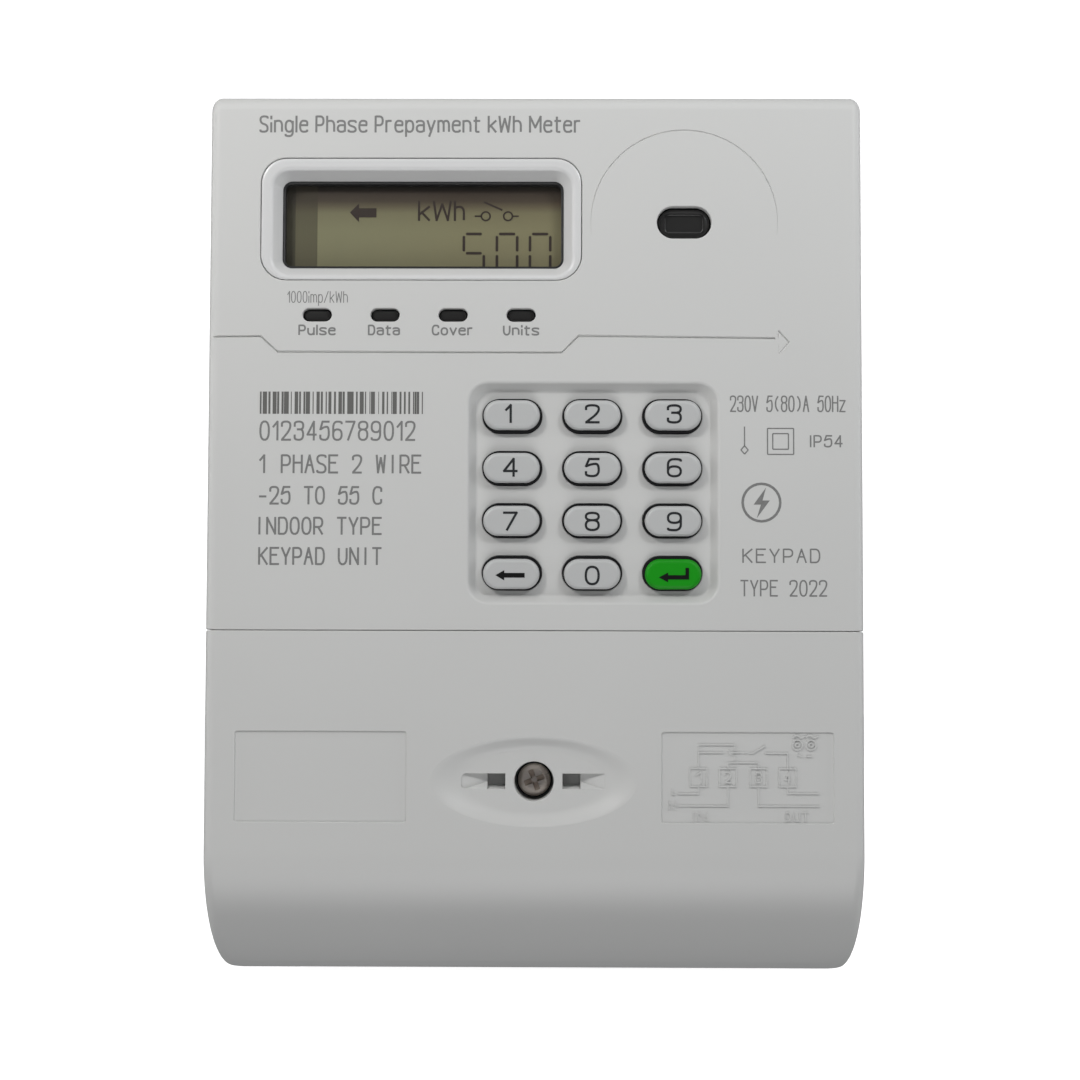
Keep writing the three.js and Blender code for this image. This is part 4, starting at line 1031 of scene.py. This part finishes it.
# The bar strip: bars of random width on a steady pitch.
strip = Growth("bar_strip", {"Count": "i", "Pitch": "f", "Height": "f", "Start": "v", "Seed": "i",
                             "Least": "f", "Most": "f", "Material": "m"})
offset = strip.node("ShaderNodeCombineXYZ", inputs={"X": strip.input("Pitch")})
points = strip.node("GeometryNodeMeshLine", inputs={
    "Count": strip.input("Count"), "Start Location": strip.input("Start"), "Offset": offset})
width = strip.node("FunctionNodeRandomValue", {"data_type": "FLOAT"},
                   {2: strip.input("Least"), 3: strip.input("Most"), "Seed": strip.input("Seed")},
                   output=1)
size = strip.node("ShaderNodeCombineXYZ", inputs={"X": width, "Y": 0.00002, "Z": strip.input("Height")})
bars = strip.node("GeometryNodeMeshCube", inputs={"Size": (1, 1, 1)})
strip.end(strip.node("GeometryNodeInstanceOnPoints",
                     inputs={"Points": points, "Instance": bars, "Scale": size}))
strip_ink = Finish("strip_ink", (0.115, 0.113, 0.108), 0.55)
strip_ink.set("Roughness", 0.5 + strip_ink.noise(1500, 2) * 0.15)
thin = strip.grow("bar_strip", Count=38, Pitch=0.00084, Height=0.0043, Seed=11, Least=0.00012,
                  Most=0.00046, Start=(-0.0527, (PRINT + 0.01) * MM, 0.02625), Material=strip_ink.material)
wide = strip.grow("wide_bars", Count=15, Pitch=0.00207, Height=0.0043, Seed=4, Least=0.00025,
                  Most=0.00105, Start=(-0.0519, (PRINT + 0.008) * MM, 0.02625), Material=strip_ink.material)
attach(join([thin, wide], "bar_strip"), "case")

# ---- studio -------------------------------------------------------------------------------------
# A white floor and a white surround that only the camera sees, two soft boxes above the front, one
# low fill, and a camera a little below the middle that looks slightly up.

bpy.context.scene.view_settings.view_transform = "Standard"
camera = bpy.data.cameras.new("camera")
camera.lens, camera.sensor_width = 72.94, 36
holder = bpy.data.objects.new("camera", camera)
bpy.context.scene.collection.objects.link(holder)
pitch, yaw, roll = math.radians(3.395), math.radians(-0.497), math.radians(0.161)
ahead = Vector((math.sin(yaw) * math.cos(pitch), math.cos(yaw) * math.cos(pitch), math.sin(pitch)))
level = Vector((math.cos(yaw), -math.sin(yaw), 0))
upright = level.cross(ahead)
sideways = math.cos(roll) * level + math.sin(roll) * upright
upward = -math.sin(roll) * level + math.cos(roll) * upright
turned_to = Matrix((sideways, upward, -ahead)).transposed().to_4x4()
holder.matrix_world = Matrix.Translation(Vector((4.68, -473.8, -24.86)) * MM) @ turned_to
bpy.context.scene.camera = holder


def white(name, glow, color=(0.9, 0.9, 0.9)):
    finish = Finish(name, color, 0.9, Emission_Color=(1, 1, 1, 1), Emission_Strength=glow)
    return finish.material


floor = stack(rounded(-2500, 2500, -2500, 2500, 2400, 16), [(0, 0), (0, 2)], "floor")
floor.data.transform(Matrix.Translation((0, 0, BOTTOM * MM - 0.0021)) @ Matrix.Rotation(QUARTER, 4, "X"))
floor.data.materials.append(white("floor_white", 0.95))
surround = bpy.data.meshes.new("surround")
ball = bmesh.new()
bmesh.ops.create_uvsphere(ball, u_segments=32, v_segments=16, radius=5)
bmesh.ops.reverse_faces(ball, faces=ball.faces)
ball.to_mesh(surround)
ball.free()
surround = bpy.data.objects.new("surround", surround)
bpy.context.scene.collection.objects.link(surround)
surround.data.materials.append(white("surround_white", 1.2))
for backdrop in (floor, surround):
    backdrop.visible_diffuse = backdrop.visible_glossy = backdrop.visible_transmission = False
    backdrop.visible_shadow = False

world = bpy.data.worlds.new("world")
world.use_nodes = True
world.node_tree.nodes["Background"].inputs["Color"].default_value = (0.93, 0.96, 1.0, 1)
world.node_tree.nodes["Background"].inputs["Strength"].default_value = 0.14
bpy.context.scene.world = world


def soft_box(name, place, aim, size, power, color=(1, 1, 1)):
    light = bpy.data.lights.new(name, "AREA")
    light.shape, light.size, light.energy, light.color = "DISK", size, power, color
    lamp = bpy.data.objects.new(name, light)
    bpy.context.scene.collection.objects.link(lamp)
    lamp.location = place
    lamp.rotation_euler = (Vector(aim) - Vector(place)).to_track_quat("-Z", "Y").to_euler()


soft_box("key_left", (-0.24, -0.33, 0.25), (0, -0.05, 0.02), 0.09, 0.71, (1, 0.99, 0.97))
soft_box("key_right", (0.24, -0.33, 0.25), (0, -0.05, 0.02), 0.09, 0.54, (0.97, 0.99, 1))
soft_box("overhead", (0.0, -0.2, 0.27), (0, -0.05, 0.02), 0.20, 0.14)
soft_box("low_front", (0.0, -0.75, -0.85), (0, -0.05, 0.0), 0.7, 4.6)
soft_box("behind", (0.5, 0.9, 0.5), (0, 0, 0), 0.8, 5.0)
soft_box("side_left", (-0.9, -0.1, 0.15), (0, 0, 0), 0.5, 2.2)
soft_box("side_right", (0.9, -0.1, 0.15), (0, 0, 0), 0.5, 2.2)
